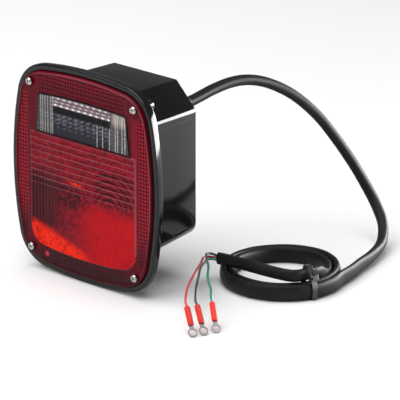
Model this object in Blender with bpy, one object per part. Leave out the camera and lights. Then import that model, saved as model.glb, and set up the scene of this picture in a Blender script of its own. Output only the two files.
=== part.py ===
"""Box type combination tail light for a trailer, with its lead.

Metres, +Z up. The lens faces -Y and +X is to the right as seen from the front. The origin is the
middle of the back plate's outer face, where the lamp bears on the trailer, so everything in front
of that face has a negative y. Run it with blender --background --python part.py.
"""

import math

import bmesh
import bpy
from mathutils import Matrix, Vector

# Clearances
FACE_GAP = 0.0003  # between two faces that touch
SIDE_GAP = 0.0005  # round a piece that drops into a recess

# Bezel: the flange of the housing, a rectangle with bowed sides
BEZEL_WIDTH = 0.1645
BEZEL_HEIGHT = 0.183
SIDE_BOW = 0.0144
END_BOW = 0.0098
BEZEL_CORNER_RADIUS = 0.033
BEZEL_DROP = 0.010  # the bezel's centre is this far below the origin
FLANGE_DEPTH = 0.007
RIM_WIDTH = 0.005
RECESS_DEPTH = 0.0048

# Box of the housing, from the bezel's front to the back plate
LAMP_DEPTH = 0.075
BACK_HALF_WIDTH = 0.0565
BACK_TOP = 0.0654
BACK_BOTTOM = -0.0659
SIDE_DRAFT = math.radians(2.0)
TOP_DRAFT = math.radians(1.1)
BOTTOM_DRAFT = math.radians(5.2)
TOP_CHAMFER = 0.0215
BOTTOM_RADIUS = 0.012
BOTTOM_RADIUS_STEPS = 3
WALL = 0.0025
BACK_WALL = 0.003

# Lens, its window and its seal
LENS_PROUD = 0.0025
LENS_WALL = 0.0025
LENS_SKIRT = 0.003
LENS_EDGE_BEVEL = 0.0012
GASKET_THICKNESS = 0.0012
GASKET_WIDTH = 0.0020
WINDOW_TOP_HALF_WIDTH = 0.0488
WINDOW_BOTTOM_HALF_WIDTH = 0.0528
WINDOW_LOW = 0.0312  # heights over the bezel's centre
WINDOW_HIGH = 0.0635
WINDOW_BOW = 0.002  # its top edge rises this much in the middle
WINDOW_CORNER = 0.0025
WINDOW_THICKNESS = 0.0032

# Lens screws
SCREW_HALF_WIDTH = 0.0586
SCREW_HALF_HEIGHT = 0.0721
SCREW_SHANK_RADIUS = 0.0019
SCREW_HEAD_RADIUS = 0.0033
SCREW_HEAD_HEIGHT = 0.0022
SCREW_HEAD_CROWN = 0.72  # share of the head's radius that is flat
SCREW_HEAD_SHOULDER = 0.45  # share of the head's height that is rounded over
SCREW_LENGTH = 0.018
SCREW_SLOT = 0.0007
SCREW_SLOT_REACH = 0.0019
SCREW_SLOT_DEPTH = 0.0012
BOSS_RADIUS = 0.0048
BOSS_FLOOR = 0.002

# Studs, nuts and washers
STUD_HALF_SPACING = 0.0381
STUD_DROP = 0.0508
STUD_RADIUS = 0.0031
STUD_REACH = 0.0165
STUD_CHAMFER = 0.0005
STUD_HEAD_RADIUS = 0.0065
STUD_HEAD_HEIGHT = 0.0025
PANEL_ROOM = 0.003  # left free between the back plate and the parked washers
WASHER_THICKNESS = 0.0014
WASHER_RADIUS = 0.0062
NUT_ACROSS_FLATS = 0.0111
NUT_HEIGHT = 0.0056

# Reflector, its screws and the divider between the two compartments
REFLECTOR_BACK = 0.030  # depth in front of the back plate's outer face
REFLECTOR_FRONT = 0.068
REFLECTOR_WALL = 0.0015
REFLECTOR_BACK_HALF_WIDTH = 0.040
REFLECTOR_BACK_TOP = 0.0555
REFLECTOR_BACK_BOTTOM = -0.050
REFLECTOR_BACK_CHAMFER = 0.014
REFLECTOR_POST_X = 0.026
REFLECTOR_POST_Z = 0.008
REFLECTOR_POST_RADIUS = 0.0035
REFLECTOR_SCREW_RADIUS = 0.0012
REFLECTOR_SCREW_HEAD_RADIUS = 0.0029
REFLECTOR_SCREW_HEAD_HEIGHT = 0.0018
REFLECTOR_SCREW_LENGTH = 0.010
DIVIDER_LOW = 0.0182
DIVIDER_THICKNESS = 0.0015
DIVIDER_FRONT = 0.0715

# Bulbs with 15 mm bayonet bases, and their sockets
STOP_TAIL_Z = -0.029
BACKUP_Z = 0.036
SOCKET_REAR = 0.0096
SOCKET_MOUTH = 0.0365
SOCKET_WALL = 0.0007
SOCKET_LIP = 0.0008
SOCKET_LIP_RADIUS = 0.0042
SOCKET_FLANGE_RADIUS = 0.0118
SOCKET_FLANGE_THICKNESS = 0.0008
BASE_RADIUS = 0.0075
BASE_LENGTH = 0.019
BASE_WALL = 0.0005
BASE_BOTTOM = 0.0182
PIN_RADIUS = 0.0010
PIN_PROUD = 0.0011  # of the base
PIN_HEIGHT = 0.0078  # over the base's bottom
PIN_STAGGER = 0.0030
BULB_TURN = math.radians(22.0)
GLASS_RADIUS = 0.01325
GLASS_NECK_RADIUS = 0.0066
GLASS_TOP = 0.0505
GLASS_WALL = 0.0007
GLASS_SHOULDER = 0.0025  # over the base's top
GLASS_SHOULDER_SPREAD = 1.12  # times the neck's radius
GLASS_WIDEST = 0.0365  # over the base's bottom
GLASS_SEAT = 0.75  # share of the base's length where the neck ends inside it
# The envelope: shares of its radius and how far beyond its widest place each lies
GLASS_SHAPE = [
    (0.80, -0.0095),
    (0.97, -0.0035),
    (1.00, 0.0),
    (0.96, 0.0040),
    (0.82, 0.0080),
    (0.58, 0.0113),
]
GLASS_TIP_SHARE = 0.28
STEM_BELOW_WIDEST = 0.0110
POST_RADIUS = 0.00035
POST_OFFSET = 0.0012
POST_BITE = 0.002  # how far a post reaches into the stem
FILAMENT_HALF_LENGTH = 0.0026
FILAMENT_HEIGHT = 0.0008
DISC_CLEARANCE = 0.0006  # inside the socket
DISC_THICKNESS = 0.0020
CONTACT_RADIUS = 0.0014
CONTACT_HEIGHT = 0.0006
CONTACT_OFFSET = 0.0031
CONTACT_TRAVEL = 0.0012
SPRING_INSET = 0.0024  # from the socket's wall to the wire's middle
SPRING_WIRE_RADIUS = 0.00035
SPRING_TURNS = 1.5

# Lead: grommet, sleeve, coil, tie, cores and terminals
CABLE_X = 0.030
CABLE_Z = 0.0395
SLEEVE_RADIUS = 0.0045
GROMMET_WAIST_RADIUS = 0.0068
GROMMET_FLANGE_RADIUS = 0.0085
GROMMET_FLANGE_THICKNESS = 0.0022
GROMMET_SHOULDER = 0.0035
GROMMET_TIP_RADIUS = 0.0058
GROMMET_REACH = 0.017
COIL_CENTRE = Vector((0.118, 0.039))
COIL_OUTER_RADIUS = 0.0525
COIL_INNER_RADIUS = 0.033
COIL_HEIGHT = 0.0135
COIL_LIFT = 0.0015
TIE_ANGLE = math.radians(-20.0)
TIE_WIDTH = 0.0045
TIE_THICKNESS = 0.0011
TIE_HEAD_LENGTH = 0.0065
TIE_HEAD_HEIGHT = 0.0045
TIE_HEAD_RADIUS_ON_COIL = 0.0455
STOP_TIE_Y = -0.0103
CORE_RADIUS = 0.00105
SHRINK_RADIUS = 0.0025
SHRINK_LENGTH = 0.017
SHRINK_MOUTH_SHARE = 0.86  # of its radius
SHRINK_TAPER = 0.0012
RING_OUTER_RADIUS = 0.0039
RING_NECK_SHARE = 0.45  # of the ring's radius, for half the neck's width
RING_HOLE_RADIUS = 0.0028
RING_THICKNESS = 0.0008
TERMINAL_NECK = 0.0024

BEZEL_Z = -BEZEL_DROP
FLOOR_Z = BEZEL_Z - BEZEL_HEIGHT / 2
RIM_FRONT_Y = -LAMP_DEPTH
FLANGE_BACK_Y = -LAMP_DEPTH + FLANGE_DEPTH
RECESS_FLOOR_Y = -LAMP_DEPTH + RECESS_DEPTH
GASKET_BACK_Y = RECESS_FLOOR_Y - FACE_GAP
GASKET_FRONT_Y = GASKET_BACK_Y - GASKET_THICKNESS
SKIRT_BACK_Y = GASKET_FRONT_Y - FACE_GAP
LENS_FACE_Y = -LAMP_DEPTH - LENS_PROUD
LENS_INSIDE_Y = LENS_FACE_Y + LENS_WALL
SCREW_SEAT_Y = LENS_FACE_Y - FACE_GAP
STUDS = {"left": (-STUD_HALF_SPACING, 0.0), "right": (STUD_HALF_SPACING, 0.0), "low": (0.0, -STUD_DROP)}
SCREWS = {
    "top_left": (-1, 1),
    "top_right": (1, 1),
    "bottom_left": (-1, -1),
    "bottom_right": (1, -1),
}

# The sleeve's route from inside the box to the coil: x, y and height over the floor
SLEEVE_ROUTE = [
    (0.0300, -0.0140, 0.1410),
    (0.0300, 0.0000, 0.1410),
    (0.0300, 0.0100, 0.1410),
    (0.0300, 0.0190, 0.1411),
    (0.0305, 0.0310, 0.1428),
    (0.0316, 0.0470, 0.1458),
    (0.0338, 0.0660, 0.1480),
    (0.0368, 0.0820, 0.1474),
    (0.0405, 0.0970, 0.1438),
    (0.0450, 0.1110, 0.1375),
    (0.0503, 0.1243, 0.1290),
    (0.0565, 0.1366, 0.1178),
    (0.0640, 0.1480, 0.1036),
    (0.0725, 0.1576, 0.0865),
    (0.0824, 0.1660, 0.0675),
    (0.0935, 0.1710, 0.0490),
    (0.1070, 0.1712, 0.0315),
    (0.1215, 0.1640, 0.0180),
    (0.1360, 0.1450, 0.0095),
    (0.1470, 0.1200, 0.0062),
    (0.1550, 0.0925, 0.0055),
]
# The end of the sleeve, from the tie across the top of the coil
TAIL_ROUTE = [
    (0.1520, 0.0100, 0.0202),
    (0.1350, 0.0070, 0.0202),
    (0.1150, 0.0055, 0.0202),
    (0.0970, 0.0045, 0.0202),
    (0.0790, 0.0020, 0.0202),
]
# Cores from the sleeve's end to their terminals: the last point is the shrink sleeve's mouth
CORE_ROUTES = {
    "black": [
        (0.0783, 0.0020, 0.0220),
        (0.0735, 0.0005, 0.0233),
        (0.0728, -0.0060, 0.0246),
        (0.0853, -0.0196, 0.0262),
        (0.0959, -0.0382, 0.0275),
        (0.1093, -0.0559, 0.0270),
        (0.1215, -0.0720, 0.0258),
        (0.1326, -0.0852, 0.0219),
        (0.1362, -0.0874, 0.0185),
    ],
    "red": [
        (0.0785, 0.0035, 0.0192),
        (0.0722, 0.0020, 0.0197),
        (0.0702, -0.0060, 0.0210),
        (0.0812, -0.0225, 0.0225),
        (0.0960, -0.0459, 0.0245),
        (0.1116, -0.0704, 0.0250),
        (0.1215, -0.0840, 0.0245),
        (0.1293, -0.0934, 0.0219),
        (0.1328, -0.0957, 0.0185),
    ],
    "green": [
        (0.0781, 0.0005, 0.0192),
        (0.0748, -0.0015, 0.0196),
        (0.0755, -0.0080, 0.0208),
        (0.0880, -0.0203, 0.0215),
        (0.1024, -0.0372, 0.0225),
        (0.1175, -0.0528, 0.0235),
        (0.1290, -0.0630, 0.0240),
        (0.1378, -0.0722, 0.0219),
        (0.1411, -0.0748, 0.0185),
    ],
}
# The way each terminal points: x, y, and down to the floor
TERMINAL_HEADINGS = {"black": (0.85, -0.52), "red": (0.84, -0.55), "green": (0.79, -0.62)}
TERMINAL_TIP_HEIGHT = 0.0008

# Wires inside the box, from the sleeve's inner end to the backs of the sockets
INNER_ROUTES = {
    "stop_wire": [
        (0.0300, -0.0146, 0.0375),
        (0.0298, -0.0190, 0.0368),
        (0.0285, -0.0225, 0.0330),
        (0.0262, -0.0215, 0.0260),
        (0.0228, -0.0175, 0.0175),
        (0.0192, -0.0130, 0.0060),
        (0.0168, -0.0092, -0.0080),
        (0.0132, -0.0068, -0.0210),
        (0.0080, -0.0060, -0.0275),
        (0.0033, -0.0068, -0.0290),
        (0.0033, -0.0092, -0.0290),
    ],
    "tail_wire": [
        (0.0277, -0.0146, 0.0398),
        (0.0268, -0.0190, 0.0392),
        (0.0240, -0.0225, 0.0350),
        (0.0208, -0.0205, 0.0260),
        (0.0180, -0.0155, 0.0170),
        (0.0135, -0.0105, 0.0060),
        (0.0085, -0.0072, -0.0080),
        (0.0025, -0.0060, -0.0190),
        (-0.0020, -0.0060, -0.0260),
        (-0.0033, -0.0070, -0.0290),
        (-0.0033, -0.0093, -0.0292),
    ],
    "backup_wire": [
        (0.0300, -0.0146, 0.0421),
        (0.0286, -0.0192, 0.0425),
        (0.0245, -0.0222, 0.0425),
        (0.0200, -0.0200, 0.0418),
        (0.0160, -0.0130, 0.0402),
        (0.0115, -0.0078, 0.0384),
        (0.0055, -0.0060, 0.0366),
        (0.0015, -0.0068, 0.0360),
        (0.0000, -0.0093, 0.0360),
    ],
    "upper_ground_wire": [
        (-0.0098, -0.0200, 0.0360),
        (-0.0135, -0.0190, 0.0345),
        (-0.0190, -0.0150, 0.0280),
        (-0.0245, -0.0105, 0.0190),
        (-0.0310, -0.0085, 0.0100),
        (-0.0362, -0.0082, 0.0040),
        (-0.0381, -0.0074, 0.0000),
    ],
    "lower_ground_wire": [
        (0.0030, -0.0200, -0.0382),
        (0.0045, -0.0195, -0.0420),
        (0.0050, -0.0165, -0.0462),
        (0.0040, -0.0120, -0.0495),
        (0.0015, -0.0085, -0.0508),
        (0.0000, -0.0074, -0.0508),
    ],
}


def clear_scene():
    for thing in list(bpy.data.objects):
        bpy.data.objects.remove(thing, do_unlink=True)


def material(name, colour, roughness, metallic=0.0, alpha=1.0):
    """A Principled material of one colour."""
    made = bpy.data.materials.new(name)
    made.use_nodes = True
    shader = made.node_tree.nodes["Principled BSDF"]
    shader.inputs["Base Color"].default_value = (*colour, 1.0)
    shader.inputs["Roughness"].default_value = roughness
    shader.inputs["Metallic"].default_value = metallic
    shader.inputs["Alpha"].default_value = alpha
    return made


MATERIALS = {}


def finish(name):
    """The finish of that name, made the first time it is asked for."""
    table = {
        "black_abs": ((0.012, 0.012, 0.013), 0.22),
        "red_acrylic": ((0.42, 0.006, 0.010), 0.10, 0.0, 0.8),
        "clear_acrylic": ((0.82, 0.84, 0.85), 0.08, 0.0, 0.4),
        "glass": ((0.85, 0.88, 0.88), 0.03, 0.0, 0.35),
        "white_paint": ((0.82, 0.82, 0.80), 0.35),
        "stainless": ((0.60, 0.60, 0.58), 0.25, 1.0),
        "zinc": ((0.52, 0.53, 0.54), 0.35, 1.0),
        "brass": ((0.62, 0.47, 0.20), 0.3, 1.0),
        "phenolic": ((0.20, 0.09, 0.04), 0.5),
        "rubber": ((0.018, 0.018, 0.018), 0.75),
        "sleeve_pvc": ((0.025, 0.025, 0.027), 0.45),
        "nylon": ((0.015, 0.015, 0.015), 0.4),
        "black_pvc": ((0.02, 0.02, 0.02), 0.4),
        "red_pvc": ((0.55, 0.02, 0.02), 0.4),
        "green_pvc": ((0.01, 0.22, 0.14), 0.4),
        "red_shrink": ((0.72, 0.05, 0.03), 0.4),
    }
    if name not in MATERIALS:
        MATERIALS[name] = material(name, *table[name])
    return MATERIALS[name]


def to_object(name, shape, look, place=(0.0, 0.0, 0.0), parent=None):
    """A named object from a bmesh, with its faces turned outwards and round faces shaded smooth."""
    bmesh.ops.recalc_face_normals(shape, faces=shape.faces)
    mesh = bpy.data.meshes.new(name)
    shape.to_mesh(mesh)
    shape.free()
    mesh.shade_smooth()
    mesh.set_sharp_from_angle(angle=math.radians(32))
    return mesh_object(name, mesh, look, place, parent)


def mesh_object(name, mesh, look, place=(0.0, 0.0, 0.0), parent=None):
    thing = bpy.data.objects.new(name, mesh)
    bpy.context.scene.collection.objects.link(thing)
    if look:
        if not mesh.materials:
            mesh.materials.append(finish(look))
    thing.location = place
    thing.parent = parent
    return thing


def axis_empty(name, place):
    """An empty on a moving group's axis."""
    empty = bpy.data.objects.new(name, None)
    bpy.context.scene.collection.objects.link(empty)
    empty.location = place
    return empty


def combined(target, tool, operation):
    """Adds a Boolean to the target and hides the tool as a guide."""
    step = target.modifiers.new(tool.name, "BOOLEAN")
    step.operation = operation
    step.solver = "EXACT"
    step.object = tool
    tool.hide_render = True
    tool.display_type = "WIRE"


def cut(target, tool):
    combined(target, tool, "DIFFERENCE")


def fuse(target, tool):
    combined(target, tool, "UNION")


def baked(thing):
    """The object's evaluated mesh, after which the object and its tools are removed."""
    tools = [step.object for step in thing.modifiers]
    bpy.context.view_layer.update()
    graph = bpy.context.evaluated_depsgraph_get()
    mesh = bpy.data.meshes.new_from_object(thing.evaluated_get(graph))
    for old in [thing, *tools]:
        bpy.data.objects.remove(old, do_unlink=True)
    return mesh


def loft(rings):
    """A closed solid through rings of points that all have the same number of points."""
    shape = bmesh.new()
    rows = [[shape.verts.new(point) for point in ring] for ring in rings]
    count = len(rows[0])
    for near, far in zip(rows[:-1], rows[1:]):
        for i in range(count):
            j = (i + 1) % count
            shape.faces.new((near[i], near[j], far[j], far[i]))
    shape.faces.new(rows[0][::-1])
    shape.faces.new(rows[-1])
    return shape


def ring_loft(rings):
    """A closed band: rings of points joined in a loop, the last one to the first."""
    shape = bmesh.new()
    rows = [[shape.verts.new(point) for point in ring] for ring in rings]
    count = len(rows[0])
    for near, far in zip(rows, rows[1:] + rows[:1]):
        for i in range(count):
            j = (i + 1) % count
            shape.faces.new((near[i], near[j], far[j], far[i]))
    return shape


def turned(profile, steps=24, closed=False):
    """A solid turned about the Y axis from (radius, y) points.

    An open profile starts and ends on the axis; a closed one goes round a bore.
    """
    shape = bmesh.new()
    rows = []
    for radius, y in profile:
        if radius == 0.0:
            rows.append([shape.verts.new((0.0, y, 0.0))])
            continue
        angles = [2 * math.pi * k / steps for k in range(steps)]
        rows.append([shape.verts.new((radius * math.cos(a), y, radius * math.sin(a))) for a in angles])
    pairs = list(zip(rows[:-1], rows[1:]))
    if closed:
        pairs.append((rows[-1], rows[0]))
    for near, far in pairs:
        for i in range(steps):
            j = (i + 1) % steps
            if len(near) == 1:
                shape.faces.new((near[0], far[j], far[i]))
            elif len(far) == 1:
                shape.faces.new((near[i], near[j], far[0]))
            else:
                shape.faces.new((near[i], near[j], far[j], far[i]))
    return shape


def rod(radius, y0, y1, steps=16):
    """A plain cylinder along Y."""
    angles = [2 * math.pi * k / steps for k in range(steps)]
    return loft([[(radius * math.cos(a), y, radius * math.sin(a)) for a in angles] for y in (y0, y1)])


def box(low, high):
    """A plain block between two corners."""
    (x0, y0, z0), (x1, y1, z1) = low, high
    near = [(x0, y0, z0), (x1, y0, z0), (x1, y0, z1), (x0, y0, z1)]
    return loft([near, [(x, y1, z) for x, _, z in near]])


def bezel_outline(inset, y, side_steps=3, corner_steps=5):
    """The bezel's outline moved inwards, as points at depth y.

    Four long arcs, one to a side, are joined by corner arcs that touch them, so moving it inwards
    only shortens every radius.
    """
    half_w, half_h = BEZEL_WIDTH / 2, BEZEL_HEIGHT / 2
    side_radius = (half_h**2 + SIDE_BOW**2) / (2 * SIDE_BOW)
    end_radius = (half_w**2 + END_BOW**2) / (2 * END_BOW)
    side_centre = Vector((half_w - side_radius, 0.0))
    end_centre = Vector((0.0, half_h - end_radius))
    reach_side = side_radius - BEZEL_CORNER_RADIUS
    reach_end = end_radius - BEZEL_CORNER_RADIUS
    between = end_centre - side_centre
    along = (reach_side**2 - reach_end**2 + between.length**2) / (2 * between.length)
    across = math.sqrt(reach_side**2 - along**2)
    direction = between.normalized()
    corner = side_centre + direction * along + Vector((-direction.y, direction.x)) * across
    start = math.atan2(corner.y - side_centre.y, corner.x - side_centre.x)
    stop = math.atan2(corner.y - end_centre.y, corner.x - end_centre.x)

    def arc(centre, radius, a0, a1, steps):
        angles = [a0 + (a1 - a0) * k / steps for k in range(steps + 1)]
        return [centre + (radius - inset) * Vector((math.cos(a), math.sin(a))) for a in angles]

    quarter = arc(side_centre, side_radius, 0.0, start, side_steps)[:-1]
    quarter += arc(corner, BEZEL_CORNER_RADIUS, start, stop, corner_steps)
    quarter += arc(end_centre, end_radius, stop, math.pi / 2, side_steps)[1:]
    left = [Vector((-p.x, p.y)) for p in quarter[-2::-1]]
    upper = quarter + left
    lower = [Vector((p.x, -p.y)) for p in upper[-2:0:-1]]
    return [(p.x, y, p.y + BEZEL_Z) for p in upper + lower]


def box_section(half_width, top, bottom, chamfer, radius, y):
    """The box's cross-section: chamfered top corners and round bottom corners."""
    steps = BOTTOM_RADIUS_STEPS
    right = [(half_width - chamfer, top), (half_width, top - chamfer)]
    for k in range(steps + 1):
        a = math.pi / 2 * k / steps
        x = half_width - radius + radius * math.cos(a)
        z = bottom + radius - radius * math.sin(a)
        right.append((x, z))
    left = [(-x, z) for x, z in reversed(right)]
    return [(x, y, z) for x, z in right + left]


def box_ring(y, inset):
    """The housing box's section at depth y, moved inwards."""
    forward = -y
    half_width = BACK_HALF_WIDTH + forward * math.tan(SIDE_DRAFT) - inset
    top = BACK_TOP + forward * math.tan(TOP_DRAFT) - inset
    bottom = BACK_BOTTOM - forward * math.tan(BOTTOM_DRAFT) + inset
    chamfer = TOP_CHAMFER - (2 - math.sqrt(2)) * inset
    return box_section(half_width, top, bottom, chamfer, BOTTOM_RADIUS - inset, y)


def pan_ring(share, inset):
    """The reflector's section: share 0 at its back plate and 1 at its front edge."""
    front = SIDE_GAP + WALL
    forward = REFLECTOR_FRONT
    wide = BACK_HALF_WIDTH + forward * math.tan(SIDE_DRAFT) - front
    high = BACK_TOP + forward * math.tan(TOP_DRAFT) - front
    low = BACK_BOTTOM - forward * math.tan(BOTTOM_DRAFT) + front
    chamfer = TOP_CHAMFER - (2 - math.sqrt(2)) * front

    def mix(back, front_value):
        return back + (front_value - back) * share

    return box_section(
        mix(REFLECTOR_BACK_HALF_WIDTH, wide) - inset,
        mix(REFLECTOR_BACK_TOP, high) - inset,
        mix(REFLECTOR_BACK_BOTTOM, low) + inset,
        mix(REFLECTOR_BACK_CHAMFER, chamfer) - (2 - math.sqrt(2)) * inset,
        BOTTOM_RADIUS - WALL - inset,
        -mix(REFLECTOR_BACK, REFLECTOR_FRONT),
    )


def smooth_route(route, spacing):
    """Evenly spaced points on a smooth curve through the route's points."""
    points = [Vector(p) for p in route]
    padded = [2 * points[0] - points[1], *points, 2 * points[-1] - points[-2]]
    fine = []
    for k in range(1, len(padded) - 2):
        a, b, c, d = padded[k - 1 : k + 3]
        for step in range(12):
            t = step / 12
            slope_b, slope_c = (c - a) / 2, (d - b) / 2
            fine.append(
                (2 * t**3 - 3 * t**2 + 1) * b
                + (t**3 - 2 * t**2 + t) * slope_b
                + (3 * t**2 - 2 * t**3) * c
                + (t**3 - t**2) * slope_c
            )
    fine.append(points[-1])
    lengths = [0.0]
    for a, b in zip(fine[:-1], fine[1:]):
        lengths.append(lengths[-1] + (b - a).length)
    count = max(2, round(lengths[-1] / spacing))
    even = []
    k = 0
    for step in range(count + 1):
        at = lengths[-1] * step / count
        while k < len(fine) - 2 and lengths[k + 1] < at:
            k += 1
        share = (at - lengths[k]) / (lengths[k + 1] - lengths[k])
        even.append(fine[k].lerp(fine[k + 1], share))
    return even


def tube(name, route, radius, look, spacing, resolution=2):
    """A round cord along a smooth route, with filled ends."""
    curve = bpy.data.curves.new(name, "CURVE")
    curve.dimensions = "3D"
    curve.bevel_depth = radius
    curve.bevel_resolution = resolution
    curve.use_fill_caps = True
    spline = curve.splines.new("POLY")
    points = smooth_route(route, spacing)
    spline.points.add(len(points) - 1)
    for slot, point in zip(spline.points, points):
        slot.co = (*point, 1.0)
    curve.materials.append(finish(look))
    thing = bpy.data.objects.new(name, curve)
    bpy.context.scene.collection.objects.link(thing)
    return thing


def over_floor(route):
    """A route whose heights are counted from the floor, in the part's own frame."""
    return [(x, y, FLOOR_Z + height) for x, y, height in route]


def screw_places():
    for name, (side, end) in SCREWS.items():
        yield name, side * SCREW_HALF_WIDTH, BEZEL_Z + end * SCREW_HALF_HEIGHT


def build_housing():
    """One moulding: the bezel flange, the box behind it, screw bosses and reflector posts."""
    flange = loft([bezel_outline(0.0, RIM_FRONT_Y), bezel_outline(0.0, FLANGE_BACK_Y)])
    housing = to_object("housing", flange, "black_abs")
    inside_flange_y = (RECESS_FLOOR_Y + FLANGE_BACK_Y) / 2
    fuse(housing, to_object("box_shape", loft([box_ring(inside_flange_y, 0.0), box_ring(0.0, 0.0)]), None))
    boss_back_y = SCREW_SEAT_Y + SCREW_LENGTH + FACE_GAP + BOSS_FLOOR
    for name, x, z in screw_places():
        boss = rod(BOSS_RADIUS, inside_flange_y, boss_back_y)
        fuse(housing, to_object(f"boss_{name}", boss, None, (x, 0.0, z)))
    cavity = loft([box_ring(-LAMP_DEPTH - WALL, WALL), box_ring(-BACK_WALL, WALL)])
    cut(housing, to_object("cavity", cavity, None))
    recess = loft([bezel_outline(RIM_WIDTH, RIM_FRONT_Y - WALL), bezel_outline(RIM_WIDTH, RECESS_FLOOR_Y)])
    cut(housing, to_object("recess", recess, None))
    post_y = -REFLECTOR_BACK + REFLECTOR_WALL + FACE_GAP
    posts = {"left": -REFLECTOR_POST_X, "right": REFLECTOR_POST_X}
    for name, x in posts.items():
        post = rod(REFLECTOR_POST_RADIUS, post_y, -BACK_WALL / 2)
        fuse(housing, to_object(f"post_{name}", post, None, (x, 0.0, REFLECTOR_POST_Z)))
    for name, x in posts.items():
        bore = rod(REFLECTOR_SCREW_RADIUS + FACE_GAP, post_y - WALL, post_y + REFLECTOR_SCREW_LENGTH, 12)
        cut(housing, to_object(f"post_bore_{name}", bore, None, (x, 0.0, REFLECTOR_POST_Z)))
    for name, x, z in screw_places():
        bore = rod(SCREW_SHANK_RADIUS + FACE_GAP, RIM_FRONT_Y, boss_back_y - BOSS_FLOOR)
        cut(housing, to_object(f"boss_bore_{name}", bore, None, (x, 0.0, z)))
    for name, (x, z) in STUDS.items():
        hole = rod(STUD_RADIUS + SIDE_GAP, -2 * BACK_WALL, BACK_WALL)
        cut(housing, to_object(f"stud_hole_{name}", hole, None, (x, 0.0, z)))
    hole = rod(GROMMET_WAIST_RADIUS + FACE_GAP, -2 * BACK_WALL, BACK_WALL, 24)
    cut(housing, to_object("cable_hole", hole, None, (CABLE_X, 0.0, CABLE_Z)))


def window_ring(grow, y):
    """The back-up window's outline: wider at its foot, cut corners and a bowed top edge."""
    corner = WINDOW_CORNER
    low, high = WINDOW_LOW - grow + BEZEL_Z, WINDOW_HIGH + grow + BEZEL_Z
    lean = (WINDOW_BOTTOM_HALF_WIDTH - WINDOW_TOP_HALF_WIDTH) / (WINDOW_HIGH - WINDOW_LOW)

    def half_width(z):
        return WINDOW_TOP_HALF_WIDTH + (WINDOW_HIGH + BEZEL_Z - z) * lean + grow

    top_half = half_width(high) - corner
    right = [
        (half_width(low) - corner, low),
        (half_width(low + corner), low + corner),
        (half_width(high - corner), high - corner),
        (top_half, high),
        (top_half / 2, high + 0.75 * WINDOW_BOW),
    ]
    left = [(-x, z) for x, z in reversed(right)]
    return [(x, y, z) for x, z in [*right, (0.0, high + WINDOW_BOW), *left]]


def build_lens(carrier):
    """The lens group: red lens, clear back-up window, seal and four screws."""
    home = -Vector(carrier.location)
    edge = RIM_WIDTH + SIDE_GAP
    rings = [
        bezel_outline(edge + LENS_EDGE_BEVEL, LENS_FACE_Y),
        bezel_outline(edge, LENS_FACE_Y + LENS_EDGE_BEVEL),
        bezel_outline(edge, SKIRT_BACK_Y),
    ]
    lens = to_object("lens", loft(rings), "red_acrylic", home, carrier)
    hollow = loft([bezel_outline(edge + LENS_SKIRT, LENS_INSIDE_Y), bezel_outline(edge + LENS_SKIRT, 0.0)])
    hollow_tool = to_object("lens_hollow", hollow, None)
    for name, x, z in screw_places():
        column = rod(BOSS_RADIUS, LENS_INSIDE_Y - FACE_GAP, 0.001)
        cut(hollow_tool, to_object(f"column_{name}", column, None, (x, 0.0, z)))
    cut(lens, hollow_tool)
    for name, x, z in screw_places():
        bore = rod(SCREW_SHANK_RADIUS + SIDE_GAP, LENS_FACE_Y - WALL, 0.0)
        cut(lens, to_object(f"lens_bore_{name}", bore, None, (x, 0.0, z)))
    opening = loft([window_ring(FACE_GAP, LENS_FACE_Y - WALL), window_ring(FACE_GAP, SKIRT_BACK_Y)])
    cut(lens, to_object("window_opening", opening, None))
    pane = loft([window_ring(0.0, LENS_FACE_Y), window_ring(0.0, LENS_FACE_Y + WINDOW_THICKNESS)])
    to_object("backup_window", pane, "clear_acrylic", home, carrier)

    inner = edge + GASKET_WIDTH
    seal = ring_loft(
        [
            bezel_outline(edge, GASKET_BACK_Y),
            bezel_outline(edge, GASKET_FRONT_Y),
            bezel_outline(inner, GASKET_FRONT_Y),
            bezel_outline(inner, GASKET_BACK_Y),
        ]
    )
    gasket = to_object("lens_gasket", seal, "rubber", home, carrier)
    for name, x, z in screw_places():
        notch = rod(SCREW_SHANK_RADIUS + SIDE_GAP, GASKET_FRONT_Y - WALL, GASKET_BACK_Y + WALL)
        cut(gasket, to_object(f"gasket_notch_{name}", notch, None, (x, 0.0, z)))

    mesh = screw_mesh()
    for name, x, z in screw_places():
        mesh_object(f"lens_screw_{name}", mesh, "stainless", Vector((x, 0.0, z)) + home, carrier)


def screw_mesh():
    """A pan-head screw along Y with a cross recess, head towards -Y."""
    top = SCREW_SEAT_Y - SCREW_HEAD_HEIGHT
    profile = [
        (0.0, top),
        (SCREW_HEAD_RADIUS * SCREW_HEAD_CROWN, top),
        (SCREW_HEAD_RADIUS, top + SCREW_HEAD_HEIGHT * SCREW_HEAD_SHOULDER),
        (SCREW_HEAD_RADIUS, SCREW_SEAT_Y),
        (SCREW_SHANK_RADIUS, SCREW_SEAT_Y),
        (SCREW_SHANK_RADIUS, SCREW_SEAT_Y + SCREW_LENGTH - SCREW_SHANK_RADIUS),
        (0.0, SCREW_SEAT_Y + SCREW_LENGTH),
    ]
    screw = to_object("screw_blank", turned(profile, 16), "stainless")
    reach, half = SCREW_SLOT_REACH, SCREW_SLOT / 2
    arms = [
        (reach, half),
        (half, half),
        (half, reach),
        (-half, reach),
        (-half, half),
        (-reach, half),
        (-reach, -half),
        (-half, -half),
        (-half, -reach),
        (half, -reach),
        (half, -half),
        (reach, -half),
    ]
    deep = [(x, top + SCREW_SLOT_DEPTH, z) for x, z in arms]
    cut(screw, to_object("cross", loft([[(x, top - WALL, z) for x, z in arms], deep]), None))
    return baked(screw)


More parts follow.
